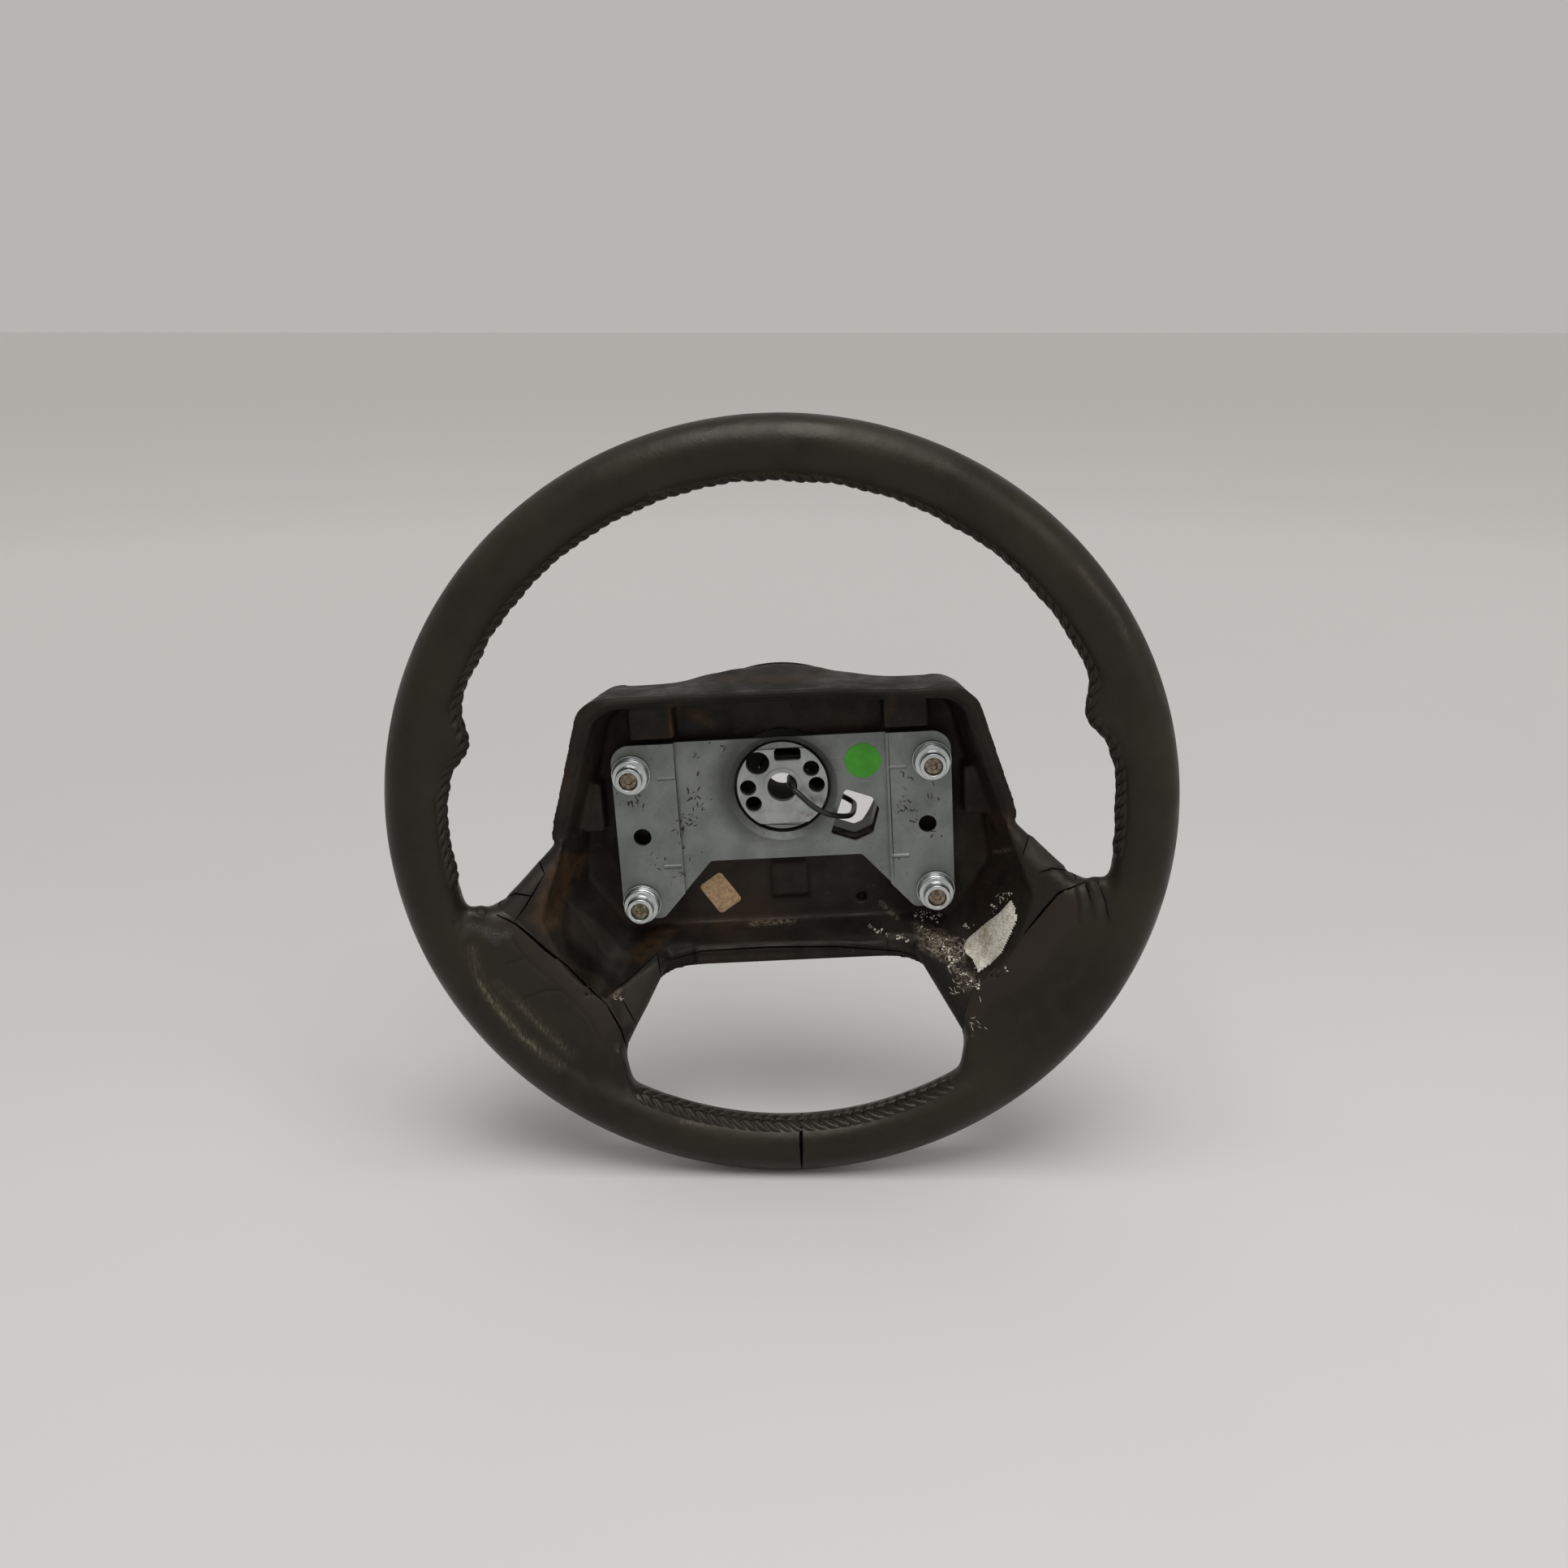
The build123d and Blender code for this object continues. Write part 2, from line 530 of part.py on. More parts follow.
def stitch_planes():
    """One plane for each stitch, on the inside of the rim and slanted by turns."""
    inside = RIM_RADIUS - GRIP_RADIUS - STITCH_HEIGHT / 2 - GLUE_LINE
    step = degrees(STITCH_PITCH / inside)
    planes = []
    for start, end in STITCH_ZONES:
        for number in range(int((end - start) / step)):
            angle = radians(start + (number + 0.5) * step)
            inwards = Vector(-cos(angle), 0, -sin(angle))
            along = Vector(-sin(angle), 0, cos(angle))
            slant = radians(STITCH_SLANT if number % 2 else -STITCH_SLANT)
            thread = along * cos(slant) + Vector(0, 1, 0) * sin(slant)
            middle = inwards * -inside + Vector(0, -RIM_FORWARD, 0)
            planes.append(Plane(origin=middle, x_dir=thread, z_dir=inwards))
    return planes


# Seam stitching
with BuildPart() as seam_stitching:
    with Locations(*stitch_planes()):
        Box(STITCH_LENGTH, STITCH_WIDTH, STITCH_HEIGHT)
seam_stitching.part.label = "seam_stitching"
export_step(seam_stitching.part, "parts/seam_stitching.step")

# Horn plate
with BuildPart() as horn_plate:
    plate_corners = ((0, PLATE_TOP), (0, WING_BOTTOM), (-NOTCH_INSET, WING_BOTTOM),
                     (NOTCH_INNER - PLATE_HALF_WIDTH, PLATE_BOTTOM))
    plate_radii = (PLATE_ROUND, PLATE_ROUND, PLATE_ROUND / 2, PLATE_ROUND / 3)
    blank = rounded_outline(face_plane(WING_FRONT), plate_corners, plate_radii)
    extrude(blank, amount=-(PLATE_THICK + WING_STEP))
    with BuildSketch(face_plane(WING_FRONT)) as centre_panel:
        Rectangle(2 * FOLD_X - PLATE_THICK, 4 * PLATE_HALF_WIDTH)
    extrude(centre_panel.sketch, amount=-WING_STEP, mode=Mode.SUBTRACT)
    with BuildSketch(face_plane(WING_BACK)) as wing_backs:
        wing_middle = FOLD_X + PLATE_THICK / 2 + PLATE_HALF_WIDTH
        with Locations((wing_middle, 0), (-wing_middle, 0)):
            Rectangle(2 * PLATE_HALF_WIDTH, 4 * PLATE_HALF_WIDTH)
    extrude(wing_backs.sketch, amount=-WING_STEP, mode=Mode.SUBTRACT)
    for side in (1, -1):
        for height in DART_HEIGHTS:
            dart_middle = (side * (FOLD_X + DART_LENGTH / 2), WING_FRONT + DART_RADIUS / 2, height)
            with Locations(Location(dart_middle, (0, 90, 0))):
                Cylinder(DART_RADIUS, DART_LENGTH)
    with BuildSketch(face_plane(WING_FRONT)) as plate_holes:
        Circle(DISH_RADIUS)
        with Locations((WING_HOLE_X, WING_HOLE_Z), (-WING_HOLE_X, WING_HOLE_Z)):
            Circle(WING_HOLE_RADIUS)
        with Locations(*STACKS.values()):
            Circle(BUSH_RADIUS + PRESS_ROOM)
        add(wire_hole_face(WING_FRONT))
    extrude(plate_holes.sketch, amount=-(PLATE_THICK + WING_STEP), mode=Mode.SUBTRACT)
    revolve(turned_face(((DISH_RADIUS + PLATE_THICK, PLATE_FRONT), (DISH_RADIUS, PLATE_FRONT),
                         (HUB_HOLE_RADIUS, PLATE_FRONT + DISH_DEPTH),
                         (HUB_HOLE_RADIUS, PLATE_BACK + DISH_DEPTH),
                         (DISH_RADIUS, PLATE_BACK), (DISH_RADIUS + PLATE_THICK, PLATE_BACK))), axis=Axis.Y)
horn_plate.part.label = "horn_plate"
export_step(horn_plate.part, "parts/horn_plate.step")

# Green dot on the plate
with BuildPart() as green_dot:
    extrude(disc_face(PLATE_FRONT, DOT_RADIUS, DOT_PLACE), amount=STICKER)
green_dot.part.label = "green_dot"
export_step(green_dot.part, "parts/green_dot.step")

# Paper label on the tray floor
with BuildPart() as paper_label:
    with BuildSketch(face_plane(TRAY_FLOOR)) as label_face:
        with Locations(Location((*LABEL_PLACE, 0), (0, 0, LABEL_TURN))):
            RectangleRounded(*LABEL_SIZE, LABEL_ROUND)
    extrude(label_face.sketch, amount=STICKER)
paper_label.part.label = "paper_label"
export_step(paper_label.part, "parts/paper_label.step")

# Corner stacks
SCREW_HOLE_RADIUS = SCREW_RADIUS + SCREW_ROOM
BUSH_TAIL = TRAY_FLOOR - HORN_TRAVEL - STOP_ROOM
for place, centre in STACKS.items():
    with BuildPart() as corner_sleeve:
        revolve(turned_face(((SCREW_HOLE_RADIUS, TRAY_FLOOR), (SHANK_RADIUS, TRAY_FLOOR),
                             (SHANK_RADIUS, WASHER_FRONT), (SLEEVE_BODY_RADIUS, WASHER_FRONT),
                             (SLEEVE_BODY_RADIUS, MID_BACK), (MID_FLANGE_RADIUS, MID_BACK),
                             (MID_FLANGE_RADIUS, MID_FRONT), (SLEEVE_HEAD_RADIUS, MID_FRONT),
                             (SLEEVE_HEAD_RADIUS, SLEEVE_FRONT), (SLEEVE_RECESS_RADIUS, SLEEVE_FRONT),
                             (SLEEVE_RECESS_RADIUS, SLEEVE_SEAT), (SCREW_HOLE_RADIUS, SLEEVE_SEAT)), centre),
                axis=axis_at(centre))
    corner_sleeve.part.label = f"corner_sleeve_{place}"
    export_step(corner_sleeve.part, f"parts/corner_sleeve_{place}.step")

    with BuildPart() as seat_washer:
        land = SLEEVE_BODY_RADIUS + PRESS_ROOM
        revolve(turned_face(((SHANK_RADIUS + PRESS_ROOM, WASHER_BACK), (WASHER_RADIUS, WASHER_BACK),
                             (WASHER_RADIUS, WASHER_FRONT), (WASHER_RADIUS - WASHER_DISH, WASHER_FRONT),
                             (WASHER_RADIUS - 2 * WASHER_DISH, WASHER_FRONT + WASHER_DISH),
                             (land + WASHER_DISH, WASHER_FRONT + WASHER_DISH), (land, WASHER_FRONT),
                             (SHANK_RADIUS + PRESS_ROOM, WASHER_FRONT)), centre), axis=axis_at(centre))
    seat_washer.part.label = f"seat_washer_{place}"
    export_step(seat_washer.part, f"parts/seat_washer_{place}.step")

    with BuildPart() as corner_screw:
        head_front = SLEEVE_SEAT - SCREW_HEAD
        revolve(turned_face(((0, head_front), (SCREW_HEAD_RADIUS, head_front),
                             (SCREW_HEAD_RADIUS, SLEEVE_SEAT),
                             (SCREW_RADIUS, SLEEVE_SEAT), (SCREW_RADIUS, TRAY_FLOOR + SCREW_BITE),
                             (0, TRAY_FLOOR + SCREW_BITE)), centre), axis=axis_at(centre))
        with BuildSketch(face_plane(head_front)) as drive:
            with Locations(centre):
                RegularPolygon(DRIVE_RADIUS, 6)
        extrude(drive.sketch, amount=-DRIVE_DEPTH, mode=Mode.SUBTRACT)
    corner_screw.part.label = f"corner_screw_{place}"
    export_step(corner_screw.part, f"parts/corner_screw_{place}.step")

    with BuildPart() as plate_bush:
        revolve(turned_face(((BUSH_BORE, WASHER_BACK), (BUSH_FLANGE_RADIUS, WASHER_BACK),
                             (BUSH_FLANGE_RADIUS, WING_FRONT), (BUSH_RADIUS, WING_FRONT),
                             (BUSH_RADIUS, BUSH_TAIL), (BUSH_BORE, BUSH_TAIL)), centre), axis=axis_at(centre))
    plate_bush.part.label = f"plate_bush_{place}"
    export_step(plate_bush.part, f"parts/plate_bush_{place}.step")

    with BuildPart() as return_spring:
        spring_room = TRAY_FLOOR - WING_BACK - SPRING_WIRE - 2 * STOP_ROOM
        spring_start = (centre[0], WING_BACK + SPRING_WIRE / 2 + STOP_ROOM, centre[1])
        with BuildLine():
            coil = Helix(pitch=spring_room / SPRING_TURNS, height=spring_room, radius=SPRING_RADIUS,
                         center=spring_start, direction=(0, 1, 0))
        with BuildSketch(Plane(origin=coil @ 0, z_dir=coil % 0)):
            RegularPolygon(SPRING_WIRE / 2, 6)
        sweep(is_frenet=True)
    return_spring.part.label = f"return_spring_{place}"
    export_step(return_spring.part, f"parts/return_spring_{place}.step")

# Contact rivets that the pressed plate reaches
with BuildPart() as contact_rivets:
    for side in (1, -1):
        rivet = disc_face(PLATE_BACK + RIVET_GAP, RIVET_RADIUS, (side * RIVET_PLACE[0], RIVET_PLACE[1]))
        extrude(rivet, amount=-(FRAME_FRONT - PLATE_BACK - RIVET_GAP))
contact_rivets.part.label = "contact_rivets"
export_step(contact_rivets.part, "parts/contact_rivets.step")

# Slip ring and its carrier on the hub's neck
with BuildPart() as slip_ring_carrier:
    neck = NECK_RADIUS + PRESS_ROOM
    revolve(turned_face(((neck, CARRIER_FRONT), (CARRIER_RADIUS, CARRIER_FRONT),
                         (CARRIER_RADIUS, CARRIER_BACK), (neck, CARRIER_BACK))), axis=Axis.Y)
    lug_length = LUG_REACH - CARRIER_RADIUS + PLATE_THICK
    with BuildSketch(face_plane(CARRIER_FRONT)) as lug:
        with PolarLocations(LUG_REACH - lug_length / 2, 1, start_angle=LUG_ANGLE):
            Rectangle(lug_length, LUG_WIDTH)
    extrude(lug.sketch, amount=-(CARRIER_BACK - CARRIER_FRONT))
slip_ring_carrier.part.label = "slip_ring_carrier"
export_step(slip_ring_carrier.part, "parts/slip_ring_carrier.step")

with BuildPart() as slip_ring:
    revolve(turned_face(((SLIP_INNER, CARRIER_BACK), (SLIP_OUTER, CARRIER_BACK),
                         (SLIP_OUTER, CARRIER_BACK + SLIP_THICK), (SLIP_INNER, CARRIER_BACK + SLIP_THICK))),
            axis=Axis.Y)
slip_ring.part.label = "slip_ring"
export_step(slip_ring.part, "parts/slip_ring.step")


def bend_radii(route):
    """Radius of each corner of the lead, as large as its two runs allow."""
    points = [Vector(*point) for point in route]
    radii = []
    for before, corner, after in zip(points, points[1:], points[2:]):
        turn = radians((corner - before).get_angle(after - corner))
        shorter = min((corner - before).length, (after - corner).length)
        radii.append(LEAD_BEND * shorter / tan(turn / 2))
    return radii


# Horn lead, from its tucked end in the bore through the wiring hole to the slip ring
lead_radii = bend_radii(LEAD_ROUTE)
with BuildPart() as horn_lead:
    with BuildLine() as lead_line:
        FilletPolyline(*LEAD_ROUTE, radius=lead_radii)
    with BuildSketch(Plane(origin=lead_line.line @ 0, z_dir=lead_line.line % 0)):
        Circle(LEAD_DIAMETER / 2)
    sweep()
horn_lead.part.label = "horn_lead"
export_step(horn_lead.part, "parts/horn_lead.step")

# Insulated end of the lead
with BuildPart() as lead_terminal:
    start = LEAD_ROUTE[0]
    extrude(disc_face(start[1], TERMINAL_RADIUS, (start[0], start[2])), amount=-TERMINAL_LENGTH)
lead_terminal.part.label = "lead_terminal"
export_step(lead_terminal.part, "parts/lead_terminal.step")
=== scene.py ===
# %% [markdown]
# A used car steering wheel, with its airbag module taken out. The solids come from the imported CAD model.
# This lesson dresses them: stitched leather on the rim, a moulded tray with worn edges, zinc plated steel.
# Everything is in metres, in the CAD model's own frame. Y is the wheel's axis and the driver sits at -Y.

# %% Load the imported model
import bmesh
import bpy
from math import atan2, cos, degrees, exp, hypot, pi, radians, sin
from mathutils import Matrix, Vector, noise
from mathutils.bvhtree import BVHTree
from random import Random
import numpy


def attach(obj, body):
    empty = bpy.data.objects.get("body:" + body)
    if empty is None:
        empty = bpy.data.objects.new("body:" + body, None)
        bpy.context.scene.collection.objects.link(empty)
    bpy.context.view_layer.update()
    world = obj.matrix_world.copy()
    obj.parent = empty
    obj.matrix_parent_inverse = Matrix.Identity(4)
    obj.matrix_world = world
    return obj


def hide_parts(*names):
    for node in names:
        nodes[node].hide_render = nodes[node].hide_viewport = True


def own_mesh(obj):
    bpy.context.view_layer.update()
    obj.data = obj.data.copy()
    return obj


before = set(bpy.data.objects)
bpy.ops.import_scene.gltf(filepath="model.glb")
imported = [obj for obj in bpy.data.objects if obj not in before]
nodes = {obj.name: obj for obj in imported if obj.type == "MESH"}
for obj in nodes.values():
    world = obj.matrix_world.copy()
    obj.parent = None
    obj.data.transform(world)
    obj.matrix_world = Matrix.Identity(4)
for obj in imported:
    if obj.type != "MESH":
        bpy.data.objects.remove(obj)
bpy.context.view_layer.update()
PLACES = ("upper_left", "upper_right", "lower_left", "lower_right")
MM = 0.001


def shown(name, data):
    """A new object of the scene that holds some data."""
    thing = bpy.data.objects.new(name, data)
    bpy.context.scene.collection.objects.link(thing)
    return thing


# %% [markdown]
# The camera stands where the photographer stood: in front of the wheel, a little above it, and rolled by
# about three degrees, because the wheel was set down slightly turned. The place and the lens were worked out
# from the round rim, which shows as an ellipse, so the render can be laid over the photograph.

# %% Camera
CAMERA_PLACE = Vector((26.9, -771.2, 247.3)) * MM
CAMERA_AIM = Vector((2.6, -50.0, 17.2)) * MM
CAMERA_RIGHT = Vector((0.9983, 0.0155, -0.0568))
PICTURE_SIZE = 1932
LENS = 36.0

look = (CAMERA_AIM - CAMERA_PLACE).normalized()
right = (CAMERA_RIGHT - look * CAMERA_RIGHT.dot(look)).normalized()
upward = right.cross(look)
lens = bpy.data.cameras.new("photo_camera")
lens.sensor_width = LENS
lens.lens = LENS
camera = shown("photo_camera", lens)
camera.matrix_world = Matrix.Translation(CAMERA_PLACE) @ Matrix((right, upward, -look)).transposed().to_4x4()
bpy.context.scene.camera = camera


def sight_line(pixel):
    """Direction from the camera through a pixel of the photograph."""
    across = (pixel[0] - PICTURE_SIZE / 2) / PICTURE_SIZE
    down = (pixel[1] - PICTURE_SIZE / 2) / PICTURE_SIZE
    return (look + right * across - upward * down).normalized()


def pixels_of(points):
    """Where points of the wheel, as an array, lie in the photograph."""
    away = points - numpy.array(CAMERA_PLACE)
    depth = away @ numpy.array(look)
    across = away @ numpy.array(right) / depth
    up = away @ numpy.array(upward) / depth
    return numpy.stack((PICTURE_SIZE * (0.5 + across), PICTURE_SIZE * (0.5 - up)), axis=1)


print("camera", CAMERA_PLACE, "lens", LENS)

# %% [markdown]
# Every finish is built from a few small helpers: a cloudy noise, cells, a level that turns a noise into a
# mask, a colour mix and a stack of bumps. All of them read Object coordinates, so the pattern stays on the
# piece when it moves, and its scale is in cycles per metre.

# %% Helpers for the finishes
def new_finish(name, **sockets):
    """A material with its node tree and main shader, whose plain values are set on the shader itself."""
    material = bpy.data.materials.new(name)
    material.use_nodes = True
    tree = material.node_tree
    shader = tree.nodes["Principled BSDF"]
    for socket, value in sockets.items():
        shader.inputs[socket.replace("_", " ")].default_value = value
    return material, tree, shader


def object_place(tree, stretch=(1, 1, 1), turn=(0, 0, 0), shift=(0, 0, 0)):
    """Object coordinates, stretched, turned and shifted for a pattern."""
    where = tree.nodes.new("ShaderNodeTexCoord")
    mapping = tree.nodes.new("ShaderNodeMapping")
    mapping.inputs["Scale"].default_value = stretch
    mapping.inputs["Rotation"].default_value = turn
    mapping.inputs["Location"].default_value = shift
    tree.links.new(where.outputs["Object"], mapping.inputs["Vector"])
    return mapping.outputs["Vector"]


def cloud(tree, place, scale, detail=4.0, rough=0.6):
    """Cloudy noise from 0 to 1."""
    node = tree.nodes.new("ShaderNodeTexNoise")
    node.inputs["Scale"].default_value = scale
    node.inputs["Detail"].default_value = detail
    node.inputs["Roughness"].default_value = rough
    tree.links.new(place, node.inputs["Vector"])
    return node.outputs["Fac"]


def cells(tree, place, scale, feature="F1"):
    """Distance pattern of small cells."""
    node = tree.nodes.new("ShaderNodeTexVoronoi")
    node.feature = feature
    node.inputs["Scale"].default_value = scale
    tree.links.new(place, node.inputs["Vector"])
    return node.outputs["Distance"]


def level(tree, value, low, high):
    """Turns values between low and high into 0 to 1."""
    node = tree.nodes.new("ShaderNodeMapRange")
    node.interpolation_type = "SMOOTHSTEP"
    node.inputs["From Min"].default_value = low
    node.inputs["From Max"].default_value = high
    tree.links.new(value, node.inputs["Value"])
    return node.outputs["Result"]


def sum_up(tree, operation, first, second):
    """One sum of two values, where the second may be a plain number."""
    node = tree.nodes.new("ShaderNodeMath")
    node.operation = operation
    node.use_clamp = operation in ("ADD", "MULTIPLY")
    tree.links.new(first, node.inputs[0])
    if isinstance(second, (int, float)):
        node.inputs[1].default_value = second
    else:
        tree.links.new(second, node.inputs[1])
    return node.outputs[0]


def times(tree, first, second):
    """A mask times another mask or a plain number."""
    return sum_up(tree, "MULTIPLY", first, second)


def near(tree, centre, radius, inner=0.0):
    """Mask that is 1 near a point of the object and fades to 0 at the radius, both in millimetres."""
    where = tree.nodes.new("ShaderNodeTexCoord")
    node = tree.nodes.new("ShaderNodeVectorMath")
    node.operation = "DISTANCE"
    node.inputs[1].default_value = Vector(centre) * MM
    tree.links.new(where.outputs["Object"], node.inputs[0])
    return level(tree, node.outputs["Value"], radius * MM, inner * MM)


def painted(tree, name):
    """A mask that was painted on the mesh as an attribute."""
    node = tree.nodes.new("ShaderNodeAttribute")
    node.attribute_name = name
    return node.outputs["Fac"]


def mix_colours(tree, share, first, second):
    """Colour between two, each a plain colour or a socket."""
    node = tree.nodes.new("ShaderNodeMix")
    node.data_type = "RGBA"
    tree.links.new(share, node.inputs[0])
    for socket, colour in ((node.inputs[6], first), (node.inputs[7], second)):
        if isinstance(colour, tuple):
            socket.default_value = (*colour, 1.0)
        else:
            tree.links.new(colour, socket)
    return node.outputs[2]


def tint(tree, colour, mask, share, second):
    """A colour that turns to a second one by a share of a mask."""
    return mix_colours(tree, times(tree, mask, share), colour, second)


def span(tree, value, low, high):
    """A 0 to 1 value stretched to run from low to high."""
    node = tree.nodes.new("ShaderNodeMapRange")
    node.inputs["To Min"].default_value = low
    node.inputs["To Max"].default_value = high
    tree.links.new(value, node.inputs["Value"])
    return node.outputs["Result"]


def raise_bumps(tree, shader, heights):
    """Stacks bumps, given as (height, strength, depth in millimetres), on the shader's normal."""
    normal = None
    for height, strength, depth in heights:
        node = tree.nodes.new("ShaderNodeBump")
        node.inputs["Strength"].default_value = strength
        node.inputs["Distance"].default_value = depth * MM
        tree.links.new(height, node.inputs["Height"])
        if normal is not None:
            tree.links.new(normal, node.inputs["Normal"])
        normal = node.outputs["Normal"]
    tree.links.new(normal, shader.inputs["Normal"])


print("helpers for finishes ready")

# %% [markdown]
# The leather is a dark olive brown that years of hands have polished. Its grain is a net of fine cells with
# pores, laid as bumps. Large clouds vary the colour, and the lower left of the rim is rubbed paler, with a painted
# sheen along the rubbed streaks.
# Painted highlights lighten the folded flaps and the seam's lobes, and painted shade darkens the creases and the seam's
# valleys.

# %% Leather
def make_leather():
    material, tree, shader = new_finish("worn_leather", Specular_IOR_Level=0.30, Specular_Tint=(1.0, 0.94, 0.82, 1.0))
    place = object_place(tree)
    clouds = level(tree, cloud(tree, place, 14, 5), 0.3, 0.72)
    mottle = level(tree, cloud(tree, place, 95, 4), 0.35, 0.75)
    colour = mix_colours(tree, clouds, (0.0058, 0.0047, 0.0036), (0.0160, 0.0142, 0.0078))
    colour = tint(tree, colour, mottle, 0.65, (0.0135, 0.0090, 0.0062))
    colour = tint(tree, colour, painted(tree, "brown"), 0.75, (0.0185, 0.0122, 0.0090))
    # Painted highlight: the folded flaps and the seam's lobes are lighter, as where light falls on them.
    colour = tint(tree, colour, painted(tree, "painted_highlight"), 0.7, (0.0165, 0.0155, 0.0138))
    # Rubbed wear, with a painted sheen along it in the wide faint streaks.
    strokes = cloud(tree, object_place(tree, (1300, 300, 330), (0, 0.6, 0)), 1, 4)
    hatch = span(tree, level(tree, strokes, 0.38, 0.66), 0.12, 1.0)
    rub_and_sheen = times(tree, hatch, painted(tree, "rub_and_sheen"))
    colour = tint(tree, colour, rub_and_sheen, 0.8, (0.150, 0.132, 0.090))
    scuff = times(tree, level(tree, cloud(tree, place, 1100, 5, 0.7), 0.3, 0.75), painted(tree, "scuff"))
    colour = tint(tree, colour, scuff, 0.7, (0.075, 0.079, 0.080))
    # Painted shade: the dark mask darkens the creases and the seam's valleys and groove.
    colour = tint(tree, colour, painted(tree, "dark"), 0.85, (0.003, 0.0026, 0.0022))
    tree.links.new(colour, shader.inputs["Base Color"])
    tree.links.new(span(tree, level(tree, cloud(tree, place, 42, 6), 0.3, 0.7), 0.30, 0.52), shader.inputs["Roughness"])
    grain = cells(tree, place, 950, "DISTANCE_TO_EDGE")
    raise_bumps(tree, shader, ((level(tree, grain, 0.0, 0.22), 0.16, 0.09), (cloud(tree, place, 2600, 3), 0.12, 0.05),
                               (cloud(tree, place, 130, 5), 0.4, 0.7)))
    return material


LEATHER = make_leather()
print("made", LEATHER.name)

# %% [markdown]
# The tray and the hidden core of the rim are one moulding of polyurethane foam with a tough skin. Inside the
# tray the skin is dusty, and rust from the metal has stained it brown, so painted masks carry stain and dust. Two more
# masks carry painted highlights on ridges and tops and painted shade in hollows.

# %% Moulded polyurethane
def make_polyurethane():
    material, tree, shader = new_finish("moulded_polyurethane", Specular_IOR_Level=0.20,
                                        Specular_Tint=(1.0, 0.94, 0.86, 1.0))
    place = object_place(tree)
    base = mix_colours(tree, level(tree, cloud(tree, place, 22, 5), 0.34, 0.7), (0.0075, 0.0062, 0.0052),
                       (0.0175, 0.0138, 0.0110))
    rust = level(tree, cloud(tree, object_place(tree, shift=(3.1, 0.4, 1.7)), 16, 7, 0.66), 0.5, 0.72)
    colour = tint(tree, base, rust, 0.6, (0.032, 0.0185, 0.0108))
    patchy = level(tree, cloud(tree, place, 85, 7, 0.65), 0.3, 0.62)
    stain = times(tree, patchy, painted(tree, "stain"))
    colour = tint(tree, colour, stain, 0.8, (0.054, 0.0300, 0.0135))
    dust = level(tree, cloud(tree, place, 330, 8, 0.75), 0.58, 0.74)
    colour = tint(tree, colour, dust, 0.4, (0.075, 0.070, 0.062))
    fluff = level(tree, cloud(tree, place, 460, 8, 0.78), 0.43, 0.62)
    colour = tint(tree, colour, fluff, painted(tree, "dust"), (0.24, 0.195, 0.145))
    # Painted highlight on ridges, tops and lit slopes of the tray.
    colour = tint(tree, colour, painted(tree, "painted_highlight"), 0.7, (0.036, 0.032, 0.027))
    # Painted shade in hollows of the tray.
    colour = tint(tree, colour, painted(tree, "dark"), 0.85, (0.0035, 0.003, 0.0027))
    tree.links.new(colour, shader.inputs["Base Color"])
    tree.links.new(span(tree, level(tree, cloud(tree, place, 60, 6), 0.3, 0.7), 0.34, 0.72), shader.inputs["Roughness"])
    raise_bumps(tree, shader, ((cloud(tree, place, 900, 4), 0.2, 0.14), (cloud(tree, place, 150, 6), 0.4, 0.7),
                               (fluff, 0.15, 0.3)))
    return material


POLYURETHANE = make_polyurethane()
print("made", POLYURETHANE.name)

# %% [markdown]
# Three steels show. The horn plate is dull zinc, flecked with dark spots and scratched, with painted shade round the
# hub's hole. The sleeves and washers are bright zinc with fine turning marks. The hub was turned on a lathe, so its
# marks are rings about the wheel's axis, with rust starting at the lower right and painted shade that darkens and dulls
# its bores and all that lies behind its front face.

# %% Zinc plate, bright zinc and turned steel
def make_zinc_plate():
    material, tree, shader = new_finish("dull_zinc_plate", Metallic=0.72)
    place = object_place(tree)
    spangle = level(tree, cloud(tree, place, 55, 6, 0.65), 0.3, 0.72)
    colour = mix_colours(tree, spangle, (0.160, 0.170, 0.163), (0.232, 0.242, 0.233))
    flecks = level(tree, cloud(tree, place, 420, 5, 0.7), 0.60, 0.68)
    patches = level(tree, cloud(tree, object_place(tree, shift=(0.7, 0, 0.2)), 26, 5), 0.44, 0.62)
    spots = times(tree, flecks, patches)
    colour = tint(tree, colour, spots, 0.8, (0.040, 0.036, 0.030))
    scratches = level(tree, cloud(tree, object_place(tree, (30, 1, 700), (0, 0.5, 0)), 1.0, 3), 0.66, 0.74)
    colour = tint(tree, colour, scratches, 0.35, (0.38, 0.40, 0.39))
    # Painted shade round the hub's hole, where the plate dishes towards the hub.
    colour = tint(tree, colour, near(tree, (-3, 0, 3), 38, 25), 0.7, (0.030, 0.030, 0.028))
    tree.links.new(colour, shader.inputs["Base Color"])
    tree.links.new(span(tree, cloud(tree, place, 80, 5), 0.36, 0.56), shader.inputs["Roughness"])
    raise_bumps(tree, shader, ((cloud(tree, place, 500, 4), 0.08, 0.06), (spots, 0.2, 0.06)))
    return material


def make_bright_zinc():
    material, tree, shader = new_finish("bright_zinc", Metallic=1.0)
    place = object_place(tree)
    tones = level(tree, cloud(tree, place, 150, 5), 0.3, 0.75)
    colour = mix_colours(tree, tones, (0.60, 0.62, 0.62), (0.46, 0.48, 0.48))
    grime = level(tree, cloud(tree, place, 260, 5, 0.7), 0.56, 0.72)
    colour = tint(tree, colour, grime, 0.22, (0.24, 0.23, 0.21))
    tree.links.new(colour, shader.inputs["Base Color"])
    tree.links.new(span(tree, cloud(tree, place, 120, 4), 0.22, 0.36), shader.inputs["Roughness"])
    turning = cloud(tree, object_place(tree, (20, 2600, 20)), 1.0, 2)
    raise_bumps(tree, shader, ((turning, 0.04, 0.03),))
    return material


